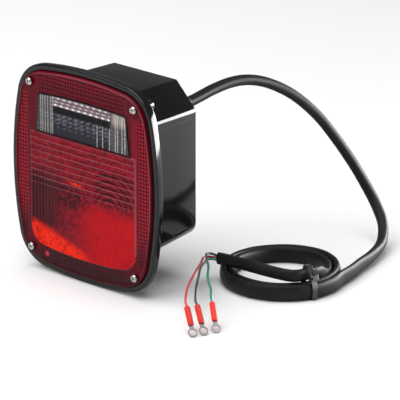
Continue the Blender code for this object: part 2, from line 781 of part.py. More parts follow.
def build_reflector():
    """The white pan behind the lens, its two screws and the wall between its compartments."""
    back_wall = REFLECTOR_WALL / (REFLECTOR_FRONT - REFLECTOR_BACK)
    outer = [pan_ring(-back_wall, 0.0), pan_ring(1.0, 0.0)]
    pan = to_object("reflector", loft(outer), "white_paint")
    inner = [pan_ring(0.0, REFLECTOR_WALL), pan_ring(1.2, REFLECTOR_WALL)]
    cut(pan, to_object("pan_hollow", loft(inner), None))
    for name, z in (("stop", STOP_TAIL_Z), ("backup", BACKUP_Z)):
        hole = rod(socket_outer_radius() + FACE_GAP, -REFLECTOR_BACK - WALL, 0.0, 24)
        cut(pan, to_object(f"{name}_socket_hole", hole, None, (0.0, 0.0, z)))
    head_y = -REFLECTOR_BACK - FACE_GAP
    profile = [
        (0.0, head_y - REFLECTOR_SCREW_HEAD_HEIGHT),
        (REFLECTOR_SCREW_HEAD_RADIUS * SCREW_HEAD_CROWN, head_y - REFLECTOR_SCREW_HEAD_HEIGHT),
        (REFLECTOR_SCREW_HEAD_RADIUS, head_y - REFLECTOR_SCREW_HEAD_HEIGHT * SCREW_HEAD_SHOULDER),
        (REFLECTOR_SCREW_HEAD_RADIUS, head_y),
        (REFLECTOR_SCREW_RADIUS, head_y),
        (REFLECTOR_SCREW_RADIUS, head_y + REFLECTOR_SCREW_LENGTH),
        (0.0, head_y + REFLECTOR_SCREW_LENGTH),
    ]
    for name, side in (("left", -1), ("right", 1)):
        place = (side * REFLECTOR_POST_X, 0.0, REFLECTOR_POST_Z)
        hole = rod(REFLECTOR_SCREW_RADIUS + FACE_GAP, -REFLECTOR_BACK - WALL, 0.0)
        cut(pan, to_object(f"{name}_screw_hole", hole, None, place))
        to_object(f"reflector_screw_{name}", turned(profile, 12), "zinc", place)

    back, front = pan_ring(0.0, REFLECTOR_WALL), pan_ring(1.0, REFLECTOR_WALL)
    back_half = max(x for x, _, _ in back) - SIDE_GAP
    front_half = max(x for x, _, _ in front) - SIDE_GAP
    back_y = -REFLECTOR_BACK - FACE_GAP
    plan = [
        (-back_half, back_y),
        (back_half, back_y),
        (front_half, -REFLECTOR_FRONT),
        (front_half, -DIVIDER_FRONT),
        (-front_half, -DIVIDER_FRONT),
        (-front_half, -REFLECTOR_FRONT),
    ]
    low = [(x, y, DIVIDER_LOW) for x, y in plan]
    high = [(x, y, DIVIDER_LOW + DIVIDER_THICKNESS) for x, y in plan]
    to_object("divider", loft([low, high]), "white_paint")


def socket_inner_radius():
    return BASE_RADIUS + FACE_GAP


def socket_outer_radius():
    return socket_inner_radius() + SOCKET_WALL


def pin_angles_and_heights(staggered):
    """Each bayonet pin's angle and its height over the base's bottom."""
    return [(0.0, PIN_HEIGHT), (math.pi, PIN_HEIGHT + (PIN_STAGGER if staggered else 0.0))]


def sector(inner, outer, a0, a1, y0, y1, steps=5):
    """A block bent round the Y axis."""
    angles = [a0 + (a1 - a0) * k / steps for k in range(steps + 1)]
    rings = []
    for a in angles:
        c, s = math.cos(a), math.sin(a)
        rings.append(
            [
                (inner * c, y0, inner * s),
                (outer * c, y0, outer * s),
                (outer * c, y1, outer * s),
                (inner * c, y1, inner * s),
            ]
        )
    return loft(rings)


def build_socket(name, z, staggered):
    """A plated tube with a flange on the reflector, an inward lip, and a J slot for each pin."""
    inside, outside = socket_inner_radius(), socket_outer_radius()
    flange_back = -REFLECTOR_BACK - FACE_GAP
    flange_front = flange_back - SOCKET_FLANGE_THICKNESS
    profile = [
        (SOCKET_LIP_RADIUS, -SOCKET_REAR),
        (outside, -SOCKET_REAR),
        (outside, flange_back),
        (SOCKET_FLANGE_RADIUS, flange_back),
        (SOCKET_FLANGE_RADIUS, flange_front),
        (outside, flange_front),
        (outside, -SOCKET_MOUTH),
        (inside, -SOCKET_MOUTH),
        (inside, -SOCKET_REAR - SOCKET_LIP),
        (SOCKET_LIP_RADIUS, -SOCKET_REAR - SOCKET_LIP),
    ]
    socket = to_object(name, turned(profile, 32, closed=True), "zinc", (0.0, 0.0, z))
    room = (PIN_RADIUS + FACE_GAP) / inside
    reach_in, reach_out = inside - WALL / 2, outside + FACE_GAP
    for k, (angle, height) in enumerate(pin_angles_and_heights(staggered)):
        pin_y = -BASE_BOTTOM - height
        half = PIN_RADIUS + FACE_GAP
        entry = angle + BULB_TURN
        turn_slot = sector(reach_in, reach_out, angle - room, entry + room, pin_y - half, pin_y + half)
        cut(socket, to_object(f"{name}_turn_slot_{k}", turn_slot, None, (0.0, 0.0, z)))
        mouth_y = -SOCKET_MOUTH - WALL
        entry_slot = sector(reach_in, reach_out, entry - room, entry + room, mouth_y, pin_y + half, 2)
        cut(socket, to_object(f"{name}_entry_slot_{k}", entry_slot, None, (0.0, 0.0, z)))


def contact_places(double):
    return [-CONTACT_OFFSET, CONTACT_OFFSET] if double else [0.0]


def build_contacts(name, z, double):
    """The sprung contact disc behind a bulb, its contact studs and its spring."""
    carrier = axis_empty(f"{name}_contact_axis", (0.0, 0.0, z))
    bulb_contact_y = -BASE_BOTTOM + CONTACT_HEIGHT
    stud_front = bulb_contact_y + FACE_GAP
    disc_front = stud_front + CONTACT_HEIGHT
    disc_back = disc_front + DISC_THICKNESS
    plate = rod(socket_inner_radius() - DISC_CLEARANCE, disc_front, disc_back, 24)
    disc = to_object(f"{name}_contact_disc", plate, "phenolic", parent=carrier)
    labels = ["left", "right"] if double else ["centre"]
    for label, x in zip(labels, contact_places(double)):
        bore = rod(CONTACT_RADIUS + FACE_GAP, disc_front - WALL, disc_back + WALL, 12)
        cut(disc, to_object(f"{name}_{label}_bore", bore, None, (x, 0.0, z)))
        stud = rod(CONTACT_RADIUS, stud_front, disc_back, 12)
        to_object(f"{name}_contact_{label}", stud, "brass", (x, 0.0, 0.0), carrier)
    spring_front = disc_back + FACE_GAP + SPRING_WIRE_RADIUS
    spring_back = -SOCKET_REAR - SOCKET_LIP - CONTACT_TRAVEL - FACE_GAP - SPRING_WIRE_RADIUS
    turns = [2 * math.pi * SPRING_TURNS * k / 24 for k in range(25)]
    pitch = (spring_back - spring_front) / turns[-1]
    radius = socket_inner_radius() - SPRING_INSET
    route = [(radius * math.cos(a), spring_front + a * pitch, radius * math.sin(a)) for a in turns]
    spring = tube(f"{name}_spring", route, SPRING_WIRE_RADIUS, "stainless", 0.0020, 1)
    spring.parent = carrier


def build_bulb(name, z, staggered):
    """A bulb: a brass bayonet base with two pins, a glass envelope, and the mount inside it."""
    carrier = axis_empty(f"{name}_bulb_axis", (0.0, 0.0, z))
    bottom = -BASE_BOTTOM
    top = bottom - BASE_LENGTH
    inner = BASE_RADIUS - BASE_WALL
    profile = [
        (0.0, bottom),
        (BASE_RADIUS - BASE_WALL, bottom),
        (BASE_RADIUS, bottom - BASE_WALL),
        (BASE_RADIUS, top),
        (inner, top),
        (inner, bottom - 3 * BASE_WALL),
        (0.0, bottom - 3 * BASE_WALL),
    ]
    base = to_object(f"{name}_bulb_base", turned(profile, 24), "brass", parent=carrier)
    for k, (angle, height) in enumerate(pin_angles_and_heights(staggered)):
        pin = rod(PIN_RADIUS, inner + BASE_WALL / 4, BASE_RADIUS + PIN_PROUD, 10)
        bmesh.ops.rotate(pin, matrix=Matrix.Rotation(math.pi / 2, 3, "X"), verts=pin.verts)
        bmesh.ops.rotate(pin, matrix=Matrix.Rotation(math.pi / 2 - angle, 3, "Y"), verts=pin.verts)
        fuse(base, to_object(f"{name}_pin_{k}", pin, None, (0.0, bottom - height, z)))
    for k, x in enumerate(contact_places(staggered)):
        dot = rod(CONTACT_RADIUS, bottom - BASE_WALL, bottom + CONTACT_HEIGHT, 12)
        fuse(base, to_object(f"{name}_dot_{k}", dot, None, (x, 0.0, z)))

    neck_in = bottom - BASE_LENGTH * GLASS_SEAT
    shoulder = top - GLASS_SHOULDER
    wide = bottom - GLASS_WIDEST
    tip = bottom - GLASS_TOP
    outside = [
        (GLASS_NECK_RADIUS, neck_in),
        (GLASS_NECK_RADIUS, top),
        (GLASS_NECK_RADIUS * GLASS_SHOULDER_SPREAD, shoulder),
    ]
    outside += [(GLASS_RADIUS * share, wide - beyond) for share, beyond in GLASS_SHAPE]
    inside = [(radius - GLASS_WALL, y) for radius, y in outside[::-1]]
    crown = [(0.0, tip), (GLASS_RADIUS * GLASS_TIP_SHARE, tip + GLASS_WALL)]
    hollow = [*inside[::-1], (0.0, tip + GLASS_WALL * 2)]
    profile = [*crown, *outside[::-1], *hollow]
    to_object(f"{name}_bulb_glass", turned(profile, 24), "glass", parent=carrier)

    stem_foot = neck_in - FACE_GAP
    stem_top = wide + STEM_BELOW_WIDEST
    stem_radius = GLASS_NECK_RADIUS - GLASS_WALL - FACE_GAP
    stem_profile = [
        (0.0, stem_foot),
        (stem_radius, stem_foot),
        (stem_radius, top),
        (stem_radius / 2, shoulder),
        (stem_radius / 3, stem_top),
        (0.0, stem_top),
    ]
    mount = to_object(f"{name}_bulb_mount", turned(stem_profile, 12), "glass", parent=carrier)
    for k, side in enumerate((-1, 1)):
        post = rod(POST_RADIUS, wide - FILAMENT_HEIGHT, stem_top + POST_BITE, 6)
        fuse(mount, to_object(f"{name}_post_{k}", post, None, (side * POST_OFFSET, 0.0, z)))
    bar = box(
        (-FILAMENT_HALF_LENGTH, wide - FILAMENT_HEIGHT - POST_RADIUS, -POST_RADIUS),
        (FILAMENT_HALF_LENGTH, wide - POST_RADIUS, POST_RADIUS),
    )
    fuse(mount, to_object(f"{name}_filament", bar, None, (0.0, 0.0, z)))


def build_fixings():
    """Three studs through the back plate, each with its lock washer and nut."""
    head_back = -BACK_WALL - FACE_GAP
    profile = [
        (0.0, head_back - STUD_HEAD_HEIGHT),
        (STUD_HEAD_RADIUS - BASE_WALL, head_back - STUD_HEAD_HEIGHT),
        (STUD_HEAD_RADIUS, head_back - STUD_HEAD_HEIGHT + BASE_WALL),
        (STUD_HEAD_RADIUS, head_back),
        (STUD_RADIUS, head_back),
        (STUD_RADIUS, STUD_REACH - STUD_CHAMFER),
        (STUD_RADIUS - STUD_CHAMFER, STUD_REACH),
        (0.0, STUD_REACH),
    ]
    hole = STUD_RADIUS + FACE_GAP
    washer_front = PANEL_ROOM + FACE_GAP
    washer_back = washer_front + WASHER_THICKNESS
    washer = [
        (hole, washer_front),
        (WASHER_RADIUS, washer_front),
        (WASHER_RADIUS, washer_back),
        (hole, washer_back),
    ]
    nut_low = washer_back + FACE_GAP
    corner = NUT_ACROSS_FLATS / math.sqrt(3)
    hexagon = [(corner * math.cos(math.pi * k / 3), corner * math.sin(math.pi * k / 3)) for k in range(6)]
    for name, (x, z) in STUDS.items():
        place = (x, 0.0, z)
        to_object(f"mount_stud_{name}", turned(profile, 16), "zinc", place)
        to_object(f"lock_washer_{name}", turned(washer, 20, closed=True), "zinc", place)
        rings = [[(u, y, v) for u, v in hexagon] for y in (nut_low, nut_low + NUT_HEIGHT)]
        nut = to_object(f"mount_nut_{name}", loft(rings), "zinc", place)
        cut(nut, to_object(f"nut_bore_{name}", rod(hole, 0.0, STUD_REACH), None, place))


def build_grommet():
    """The rubber grommet in the back plate, tapered round the sleeve outside."""
    bore = SLEEVE_RADIUS + FACE_GAP
    inner_face = -BACK_WALL - FACE_GAP
    profile = [
        (bore, inner_face - GROMMET_FLANGE_THICKNESS),
        (GROMMET_FLANGE_RADIUS, inner_face - GROMMET_FLANGE_THICKNESS),
        (GROMMET_FLANGE_RADIUS, inner_face),
        (GROMMET_WAIST_RADIUS, inner_face),
        (GROMMET_WAIST_RADIUS, GROMMET_SHOULDER),
        (GROMMET_TIP_RADIUS, GROMMET_REACH),
        (bore, GROMMET_REACH),
    ]
    to_object("cable_grommet", turned(profile, 24, closed=True), "rubber", (CABLE_X, 0.0, CABLE_Z))

    width = TIE_WIDTH / 2
    band = [(bore, -width), (bore + TIE_THICKNESS, -width), (bore + TIE_THICKNESS, width), (bore, width)]
    place = (CABLE_X, STOP_TIE_Y, CABLE_Z)
    tie = to_object("cable_stop_tie", turned(band, 20, closed=True), "nylon", place)
    low = (bore + TIE_THICKNESS / 2, -width, -TIE_HEAD_LENGTH / 2)
    high = (bore + TIE_THICKNESS / 2 + TIE_HEAD_HEIGHT, width, TIE_HEAD_LENGTH / 2)
    fuse(tie, to_object("stop_tie_head", box(low, high), None, place))


def build_lead():
    """The sleeve, its coil, the tie round it, and the cores with their terminals."""
    tube("cable_sleeve", over_floor(SLEEVE_ROUTE), SLEEVE_RADIUS, "sleeve_pvc", 0.0105)
    low = FLOOR_Z + COIL_LIFT
    high = low + COIL_HEIGHT
    edge = 0.002
    profile = [
        (COIL_INNER_RADIUS, -low - edge),
        (COIL_INNER_RADIUS, -high + edge),
        (COIL_INNER_RADIUS + edge, -high),
        (COIL_OUTER_RADIUS - edge, -high),
        (COIL_OUTER_RADIUS, -high + edge),
        (COIL_OUTER_RADIUS, -low - edge),
        (COIL_OUTER_RADIUS - edge, -low),
        (COIL_INNER_RADIUS + edge, -low),
    ]
    ring = turned(profile, 40, closed=True)
    bmesh.ops.rotate(ring, matrix=Matrix.Rotation(math.radians(-90), 3, "X"), verts=ring.verts)
    to_object("cable_coil", ring, "sleeve_pvc", (*COIL_CENTRE, 0.0))
    tube("cable_tail", over_floor(TAIL_ROUTE), SLEEVE_RADIUS, "sleeve_pvc", 0.0105)
    build_coil_tie(low, high)
    for colour, route in CORE_ROUTES.items():
        build_core(colour, over_floor(route))


def build_coil_tie(low, high):
    """A flat band round the coil's section with its head on top."""
    inner, outer = COIL_INNER_RADIUS - FACE_GAP, COIL_OUTER_RADIUS + FACE_GAP
    t = TIE_THICKNESS
    half = TIE_WIDTH / 2
    bottom, top = low - FACE_GAP, high + FACE_GAP
    loops = [
        [(inner - t, bottom - t), (outer + t, bottom - t), (outer + t, top + t), (inner - t, top + t)],
        [(inner, bottom), (outer, bottom), (outer, top), (inner, top)],
    ]
    rings = [[(r, -half, z) for r, z in loops[0]], [(r, half, z) for r, z in loops[0]]]
    rings += [[(r, half, z) for r, z in loops[1]], [(r, -half, z) for r, z in loops[1]]]
    tie = to_object("cable_tie", ring_loft(rings), "nylon", (*COIL_CENTRE, 0.0))
    tie.rotation_euler = (0.0, 0.0, TIE_ANGLE)
    middle = TIE_HEAD_RADIUS_ON_COIL
    corner_low = (middle - TIE_HEAD_LENGTH / 2, -half - t / 2, top + t / 2)
    corner_high = (middle + TIE_HEAD_LENGTH / 2, half + t / 2, top + t / 2 + TIE_HEAD_HEIGHT)
    head = to_object("tie_head", box(corner_low, corner_high), None, (*COIL_CENTRE, 0.0))
    head.rotation_euler = (0.0, 0.0, TIE_ANGLE)
    fuse(tie, head)


def build_core(colour, route):
    """One core with its shrink sleeve and a ring terminal whose tip rests on the floor."""
    tube(f"core_{colour}", route, CORE_RADIUS, f"{colour}_pvc", 0.0055)
    mouth = Vector(route[-1])
    heading = Vector((*TERMINAL_HEADINGS[colour], 0.0)).normalized()
    reach = SHRINK_LENGTH + 2 * FACE_GAP + TERMINAL_NECK + 2 * RING_OUTER_RADIUS
    fall = mouth.z - FLOOR_Z - TERMINAL_TIP_HEIGHT
    slope = math.asin(fall / reach)
    axis = (heading * math.cos(slope) - Vector((0, 0, 1)) * math.sin(slope)).normalized()
    side = axis.cross(Vector((0, 0, 1))).normalized()
    frame = Matrix((side, axis, side.cross(axis))).transposed().to_4x4()
    frame.translation = mouth + axis * FACE_GAP
    rings = [
        (SHRINK_RADIUS * SHRINK_MOUTH_SHARE, 0.0),
        (SHRINK_RADIUS, SHRINK_TAPER),
        (SHRINK_RADIUS, SHRINK_LENGTH - SHRINK_TAPER),
        (SHRINK_RADIUS * SHRINK_MOUTH_SHARE, SHRINK_LENGTH),
    ]
    shrink = turned([(0.0, 0.0), *rings, (0.0, SHRINK_LENGTH)], 14)
    to_object(f"shrink_{colour}", shrink, "red_shrink").matrix_world = frame
    start = SHRINK_LENGTH + FACE_GAP
    centre = start + TERMINAL_NECK + RING_OUTER_RADIUS
    half_neck = RING_OUTER_RADIUS * RING_NECK_SHARE
    half = RING_THICKNESS / 2
    opening = math.asin(half_neck / RING_OUTER_RADIUS)
    outline = [(-half_neck, start), (half_neck, start)]
    for k in range(21):
        a = -math.pi / 2 + opening + (2 * math.pi - 2 * opening) * k / 20
        outline.append((RING_OUTER_RADIUS * math.cos(a), centre + RING_OUTER_RADIUS * math.sin(a)))
    plate = loft([[(x, y, -half) for x, y in outline], [(x, y, half) for x, y in outline]])
    terminal = to_object(f"ring_terminal_{colour}", plate, "zinc")
    hole = rod(RING_HOLE_RADIUS, -0.002, 0.002, 18)
    bmesh.ops.rotate(hole, matrix=Matrix.Rotation(math.pi / 2, 3, "X"), verts=hole.verts)
    bmesh.ops.translate(hole, vec=(0.0, centre, 0.0), verts=hole.verts)
    tool = to_object(f"ring_hole_{colour}", hole, None)
    cut(terminal, tool)
    terminal.matrix_world = frame
    tool.matrix_world = frame


def build_wiring():
    """The wires inside the box."""
    coloured = {"stop_wire": "red_pvc", "backup_wire": "green_pvc"}
    for name, route in INNER_ROUTES.items():
        tube(name, route, CORE_RADIUS, coloured.get(name, "black_pvc"), 0.0045)


def build():
    clear_scene()
    build_housing()
    build_lens(axis_empty("lens_axis", (0.0, RIM_FRONT_Y, BEZEL_Z)))
    build_reflector()
    for name, z, double in (("stop_tail", STOP_TAIL_Z, True), ("backup", BACKUP_Z, False)):
        build_socket(f"{name}_socket", z, double)
        build_contacts(name, z, double)
        build_bulb(name, z, double)
    build_fixings()
    build_grommet()
    build_wiring()
    build_lead()


build()
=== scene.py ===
import math

import bmesh
import bpy
import numpy as np
from mathutils import Matrix, Vector


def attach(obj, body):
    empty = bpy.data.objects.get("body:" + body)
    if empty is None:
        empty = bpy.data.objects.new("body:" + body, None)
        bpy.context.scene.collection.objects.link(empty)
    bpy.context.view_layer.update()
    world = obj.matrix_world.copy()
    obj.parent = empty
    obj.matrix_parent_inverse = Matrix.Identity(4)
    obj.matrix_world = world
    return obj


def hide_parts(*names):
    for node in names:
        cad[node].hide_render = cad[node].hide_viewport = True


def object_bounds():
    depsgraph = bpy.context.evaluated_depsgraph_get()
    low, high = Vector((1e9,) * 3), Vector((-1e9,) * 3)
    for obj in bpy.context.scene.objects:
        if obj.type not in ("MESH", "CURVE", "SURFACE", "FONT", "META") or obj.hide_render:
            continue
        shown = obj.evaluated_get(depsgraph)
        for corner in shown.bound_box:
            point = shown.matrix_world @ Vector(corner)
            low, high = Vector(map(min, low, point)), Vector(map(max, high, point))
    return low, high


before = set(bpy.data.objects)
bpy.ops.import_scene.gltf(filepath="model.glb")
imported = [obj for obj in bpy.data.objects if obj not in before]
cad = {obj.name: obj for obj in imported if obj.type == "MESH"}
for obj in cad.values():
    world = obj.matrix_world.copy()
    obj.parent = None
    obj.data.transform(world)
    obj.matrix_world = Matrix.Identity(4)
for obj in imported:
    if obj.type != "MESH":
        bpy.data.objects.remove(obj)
cad_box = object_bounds()


# Camera. A long lens from the right and a little above, so that the box shows its face and one
# side with hardly any perspective.
CAMERA_PLACE = Vector((2.0613, -2.2114, 1.0051))
CAMERA_AZIMUTH = math.radians(42.14)
CAMERA_ELEVATION = math.radians(19.21)
CAMERA_LENS = 344.0

camera_data = bpy.data.cameras.new("camera")
camera_data.lens = CAMERA_LENS
camera_data.sensor_width = 36.0
camera_data.clip_end = 50.0
camera = bpy.data.objects.new("camera", camera_data)
bpy.context.scene.collection.objects.link(camera)
towards_camera = Vector(
    (
        math.sin(CAMERA_AZIMUTH) * math.cos(CAMERA_ELEVATION),
        -math.cos(CAMERA_AZIMUTH) * math.cos(CAMERA_ELEVATION),
        math.sin(CAMERA_ELEVATION),
    )
)
camera_right = Vector((math.cos(CAMERA_AZIMUTH), math.sin(CAMERA_AZIMUTH), 0.0))
camera_up = towards_camera.cross(camera_right)
camera.matrix_world = Matrix.Translation(CAMERA_PLACE) @ (
    Matrix((camera_right, camera_up, towards_camera)).transposed().to_4x4()
)
bpy.context.scene.camera = camera


# Sleeve. A PVC tube over the lamp's three wires, round where it arches out of the box and pressed
# into a strap standing on edge where it is wound. Two turns and a bit lie in one layer on the
# floor, and the last stretch comes up through the tie and crosses over the coil.
FLOOR_Z = cad_box[0].z
SLEEVE_WIDTH = 0.009
SLEEVE_ROUTE = [
    (0.0300, -0.0140, 0.1410),
    (0.0300, 0.0000, 0.1410),
    (0.0300, 0.0100, 0.1410),
    (0.0300, 0.0190, 0.1411),
    (0.0305, 0.0310, 0.1428),
    (0.0316, 0.0470, 0.1458),
    (0.0338, 0.0660, 0.1480),
    (0.0368, 0.0820, 0.1474),
    (0.0405, 0.0970, 0.1438),
    (0.0450, 0.1110, 0.1375),
    (0.0503, 0.1243, 0.1290),
    (0.0565, 0.1366, 0.1178),
    (0.0640, 0.1480, 0.1036),
    (0.0725, 0.1576, 0.0865),
    (0.0824, 0.1660, 0.0675),
    (0.0935, 0.1710, 0.0490),
    (0.1070, 0.1712, 0.0315),
    (0.1215, 0.1640, 0.0180),
    (0.1360, 0.1450, 0.0095),
    (0.1470, 0.1200, 0.0078),
    (0.1550, 0.0925, 0.0076),
    (0.1598, 0.0765, 0.0076),
]
TAIL_ROUTE = [
    (0.1550, 0.0142, 0.0204),
    (0.1478, 0.0095, 0.0204),
    (0.1380, 0.0076, 0.0204),
    (0.1270, 0.0066, 0.0204),
    (0.1110, 0.0056, 0.0204),
    (0.0950, 0.0045, 0.0204),
    (0.0790, 0.0020, 0.0204),
]
COIL_X, COIL_Y = 0.118, 0.039
COIL_START, COIL_END = 24.0, -736.0
COIL_POINT_EVERY = 15.0
COIL_RADIUS, COIL_STEP, COIL_SPREAD = 0.0497, 0.0061, 0.0035
COIL_CLIMB = 0.0127
STRAP_MIDDLE = 0.0076
LYING_HEIGHT, LYING_THICKNESS = 0.0132, 0.0058
TAIL_HEIGHT, TAIL_THICKNESS = 0.0104, 0.0062
TIP_DEPTH = 0.005
TIP_WALL = 0.0009
SLEEVE_SPACING = 0.003
SLEEVE_STEPS = 24
SLEEVE_SQUARENESS = 0.85
FLATTENED_FROM, FLATTENED_AT = 0.300, 0.400
TAIL_RUN, TAIL_EASE = 0.092, 0.030
# Unevenness where it lies: two waves, in radians per metre, and how much they change its height
# and its thickness
WAVE_FAST, WAVE_SLOW = 190.0, 77.0
WAVE_UP, WAVE_SIDE = 0.012, 0.020


def eased(x, start, stop):
    """Rises smoothly from 0 at start to 1 at stop: 3t^2 - 2t^3 of the share t."""
    t = np.clip((np.asarray(x, float) - start) / (stop - start), 0.0, 1.0)
    return t * t * (3.0 - 2.0 * t)


def coil_route():
    """Points every 15 degrees, clockwise from above. The radius steps in from one turn to the next
    just before the turn closes, and the last stretch climbs over the turns below it."""
    angles = np.arange(COIL_START, COIL_END - 1.0, -COIL_POINT_EVERY)
    steps_in = eased(-angles, 255.0, 340.0) + eased(-angles, 610.0, 690.0)
    radii = COIL_RADIUS - COIL_STEP * steps_in + COIL_SPREAD * eased(-angles, 700.0, -COIL_END)
    heights = STRAP_MIDDLE + COIL_CLIMB * eased(-angles, 690.0, -COIL_END)
    turn = np.radians(angles)
    x = COIL_X + radii * np.cos(turn)
    y = COIL_Y + radii * np.sin(turn)
    return [tuple(p) for p in np.stack([x, y, heights], 1)]


def smooth_route(route, spacing):
    """Even points on a curve through the route: each span is the cubic whose end slopes are half
    the way between its neighbours."""
    points = np.array(route, float)
    padded = np.vstack([2 * points[0] - points[1], points, 2 * points[-1] - points[-2]])
    a, b, c, d = (padded[k : len(padded) - 3 + k, None, :] for k in range(4))
    t = (np.arange(12) / 12.0)[None, :, None]
    fine = (
        (2 * t**3 - 3 * t**2 + 1) * b
        + (t**3 - 2 * t**2 + t) * (c - a) / 2
        + (3 * t**2 - 2 * t**3) * c
        + (t**3 - t**2) * (d - b) / 2
    )
    fine = np.vstack([fine.reshape(-1, 3), points[-1]])
    along = np.concatenate([[0.0], np.cumsum(np.linalg.norm(np.diff(fine, axis=0), axis=1))])
    even = np.linspace(0.0, along[-1], max(3, round(along[-1] / spacing)) + 1)
    return np.stack([np.interp(even, along, fine[:, k]) for k in range(3)], 1), even


def above_floor(route):
    """The route with its heights counted from the floor."""
    return [(x, y, FLOOR_Z + height) for x, y, height in route]


def cross_frames(path):
    """At each point the sideways direction, level and square to the path, and the one square to
    both, which points up on a level path."""
    ahead = np.gradient(path, axis=0)
    ahead /= np.linalg.norm(ahead, axis=1)[:, None]
    side = np.cross(ahead, (0.0, 0.0, 1.0))
    side /= np.linalg.norm(side, axis=1)[:, None]
    return side, np.cross(side, ahead)


def swept_rings(path, half_side, half_up, steps, squareness=1.0):
    """Rings round the path. Each is an ellipse whose sine and cosine are raised to a power under 1
    to fill its corners."""
    side, up = cross_frames(path)
    turn = 2 * math.pi * np.arange(steps) / steps
    c, s = np.cos(turn), np.sin(turn)
    c = np.sign(c) * np.abs(c) ** squareness
    s = np.sign(s) * np.abs(s) ** squareness
    half_side = np.broadcast_to(half_side, (len(path),))[:, None, None]
    half_up = np.broadcast_to(half_up, (len(path),))[:, None, None]
    return (
        path[:, None, :]
        + half_side * c[None, :, None] * side[:, None, :]
        + half_up * s[None, :, None] * up[:, None, :]
    )


def make_piece(name, points, faces, look, body, replaced=(), crease=35.0, tones=None):
    """A mesh from points and faces, its faces turned outwards, riding on a CAD body. Edges sharper
    than the crease angle stay sharp. Tones are one colour for each point."""
    mesh = bpy.data.meshes.new(name)
    mesh.from_pydata([tuple(p) for p in np.asarray(points).tolist()], [], faces)
    if tones is not None:
        colours = np.ones((len(points), 4), np.float32)
        colours[:, :3] = tones
        tone = mesh.attributes.new("tone", "FLOAT_COLOR", "POINT")
        tone.data.foreach_set("color", colours.ravel())
    shape = bmesh.new()
    shape.from_mesh(mesh)
    bmesh.ops.recalc_face_normals(shape, faces=shape.faces)
    shape.to_mesh(mesh)
    shape.free()
    mesh.shade_smooth()
    mesh.set_sharp_from_angle(angle=math.radians(crease))
    mesh.materials.append(look)
    piece = bpy.data.objects.new(name, mesh)
    bpy.context.scene.collection.objects.link(piece)
    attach(piece, body)
    if replaced:
        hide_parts(*replaced)
    return piece


def ring_faces(rows, steps, closed_along=False, first=0):
    """Quads between rows of points that each go once round, and from the last row to the first
    where the surface is closed along its length too."""
    row = np.arange(rows if closed_along else rows - 1)[:, None]
    k = np.arange(steps)[None, :]
    ahead, beside = (row + 1) % rows, (k + 1) % steps
    corners = [row * steps + k, row * steps + beside, ahead * steps + beside, ahead * steps + k]
    quads = np.stack([np.broadcast_to(c, (row.size, steps)) for c in corners], -1).reshape(-1, 4)
    return (quads + first).tolist()


def capped_faces(rows, steps, first=0):
    """The faces of a tube with a flat face at each end."""
    faces = ring_faces(rows, steps, first=first)
    faces.append([first + k for k in range(steps)][::-1])
    faces.append([first + (rows - 1) * steps + k for k in range(steps)])
    return faces


BROAD_TO_FINE = 12.0
GRAIN_HEIGHT = 0.0005


def grained(
    name, colour, roughness, metallic=0.0, grain=900.0, depth=0.05, mottle=0.12, coat=0.0, gloss=0.5
):
    """A Principled finish whose colour wanders by the mottle and whose surface has a fine grain.

    Colour: the given one times noise between 1 - mottle and 1 + mottle. Roughness wanders by a
    fifth. The bump is noise at the grain's scale.
    """
    made = bpy.data.materials.new(name)
    made.use_nodes = True
    tree = made.node_tree
    shader = tree.nodes["Principled BSDF"]
    place = tree.nodes.new("ShaderNodeTexCoord")
    broad = tree.nodes.new("ShaderNodeTexNoise")
    broad.inputs["Scale"].default_value = grain / BROAD_TO_FINE
    broad.inputs["Detail"].default_value = 4.0
    fine = tree.nodes.new("ShaderNodeTexNoise")
    fine.inputs["Scale"].default_value = grain
    fine.inputs["Detail"].default_value = 3.0
    for noise in (broad, fine):
        tree.links.new(place.outputs["Object"], noise.inputs["Vector"])
    ramp = tree.nodes.new("ShaderNodeValToRGB")
    stops = ((0.3, 1 - mottle), (0.7, 1 + mottle))
    for stop, (position, strength) in zip(ramp.color_ramp.elements, stops):
        stop.position = position
        stop.color = (*[min(1.0, c * strength) for c in colour], 1.0)
    tree.links.new(broad.outputs["Fac"], ramp.inputs["Fac"])
    tree.links.new(ramp.outputs["Color"], shader.inputs["Base Color"])
    rough = tree.nodes.new("ShaderNodeMapRange")
    rough.inputs["To Min"].default_value = roughness * 0.8
    rough.inputs["To Max"].default_value = min(1.0, roughness * 1.2)
    tree.links.new(broad.outputs["Fac"], rough.inputs["Value"])
    tree.links.new(rough.outputs["Result"], shader.inputs["Roughness"])
    bump = tree.nodes.new("ShaderNodeBump")
    bump.inputs["Strength"].default_value = depth
    bump.inputs["Distance"].default_value = GRAIN_HEIGHT
    tree.links.new(fine.outputs["Fac"], bump.inputs["Height"])
    tree.links.new(bump.outputs["Normal"], shader.inputs["Normal"])
    shader.inputs["Metallic"].default_value = metallic
    shader.inputs["Specular IOR Level"].default_value = gloss
    shader.inputs["Coat Weight"].default_value = coat
    shader.inputs["Coat Roughness"].default_value = 0.08
    return made


sleeve_pvc = grained(
    "sleeve_pvc", (0.013, 0.0125, 0.0135), 0.46, grain=500.0, depth=0.10, mottle=0.25, gloss=0.12
)
sleeve_path, sleeve_along = smooth_route(
    above_floor([*SLEEVE_ROUTE, *coil_route(), *TAIL_ROUTE]), SLEEVE_SPACING
)
total = sleeve_along[-1]
flat = eased(sleeve_along, FLATTENED_FROM, FLATTENED_AT)
tail = eased(sleeve_along, total - TAIL_RUN - TAIL_EASE, total - TAIL_RUN)
waves = np.sin(sleeve_along * WAVE_FAST) + 0.6 * np.sin(sleeve_along * WAVE_SLOW + 1.3)


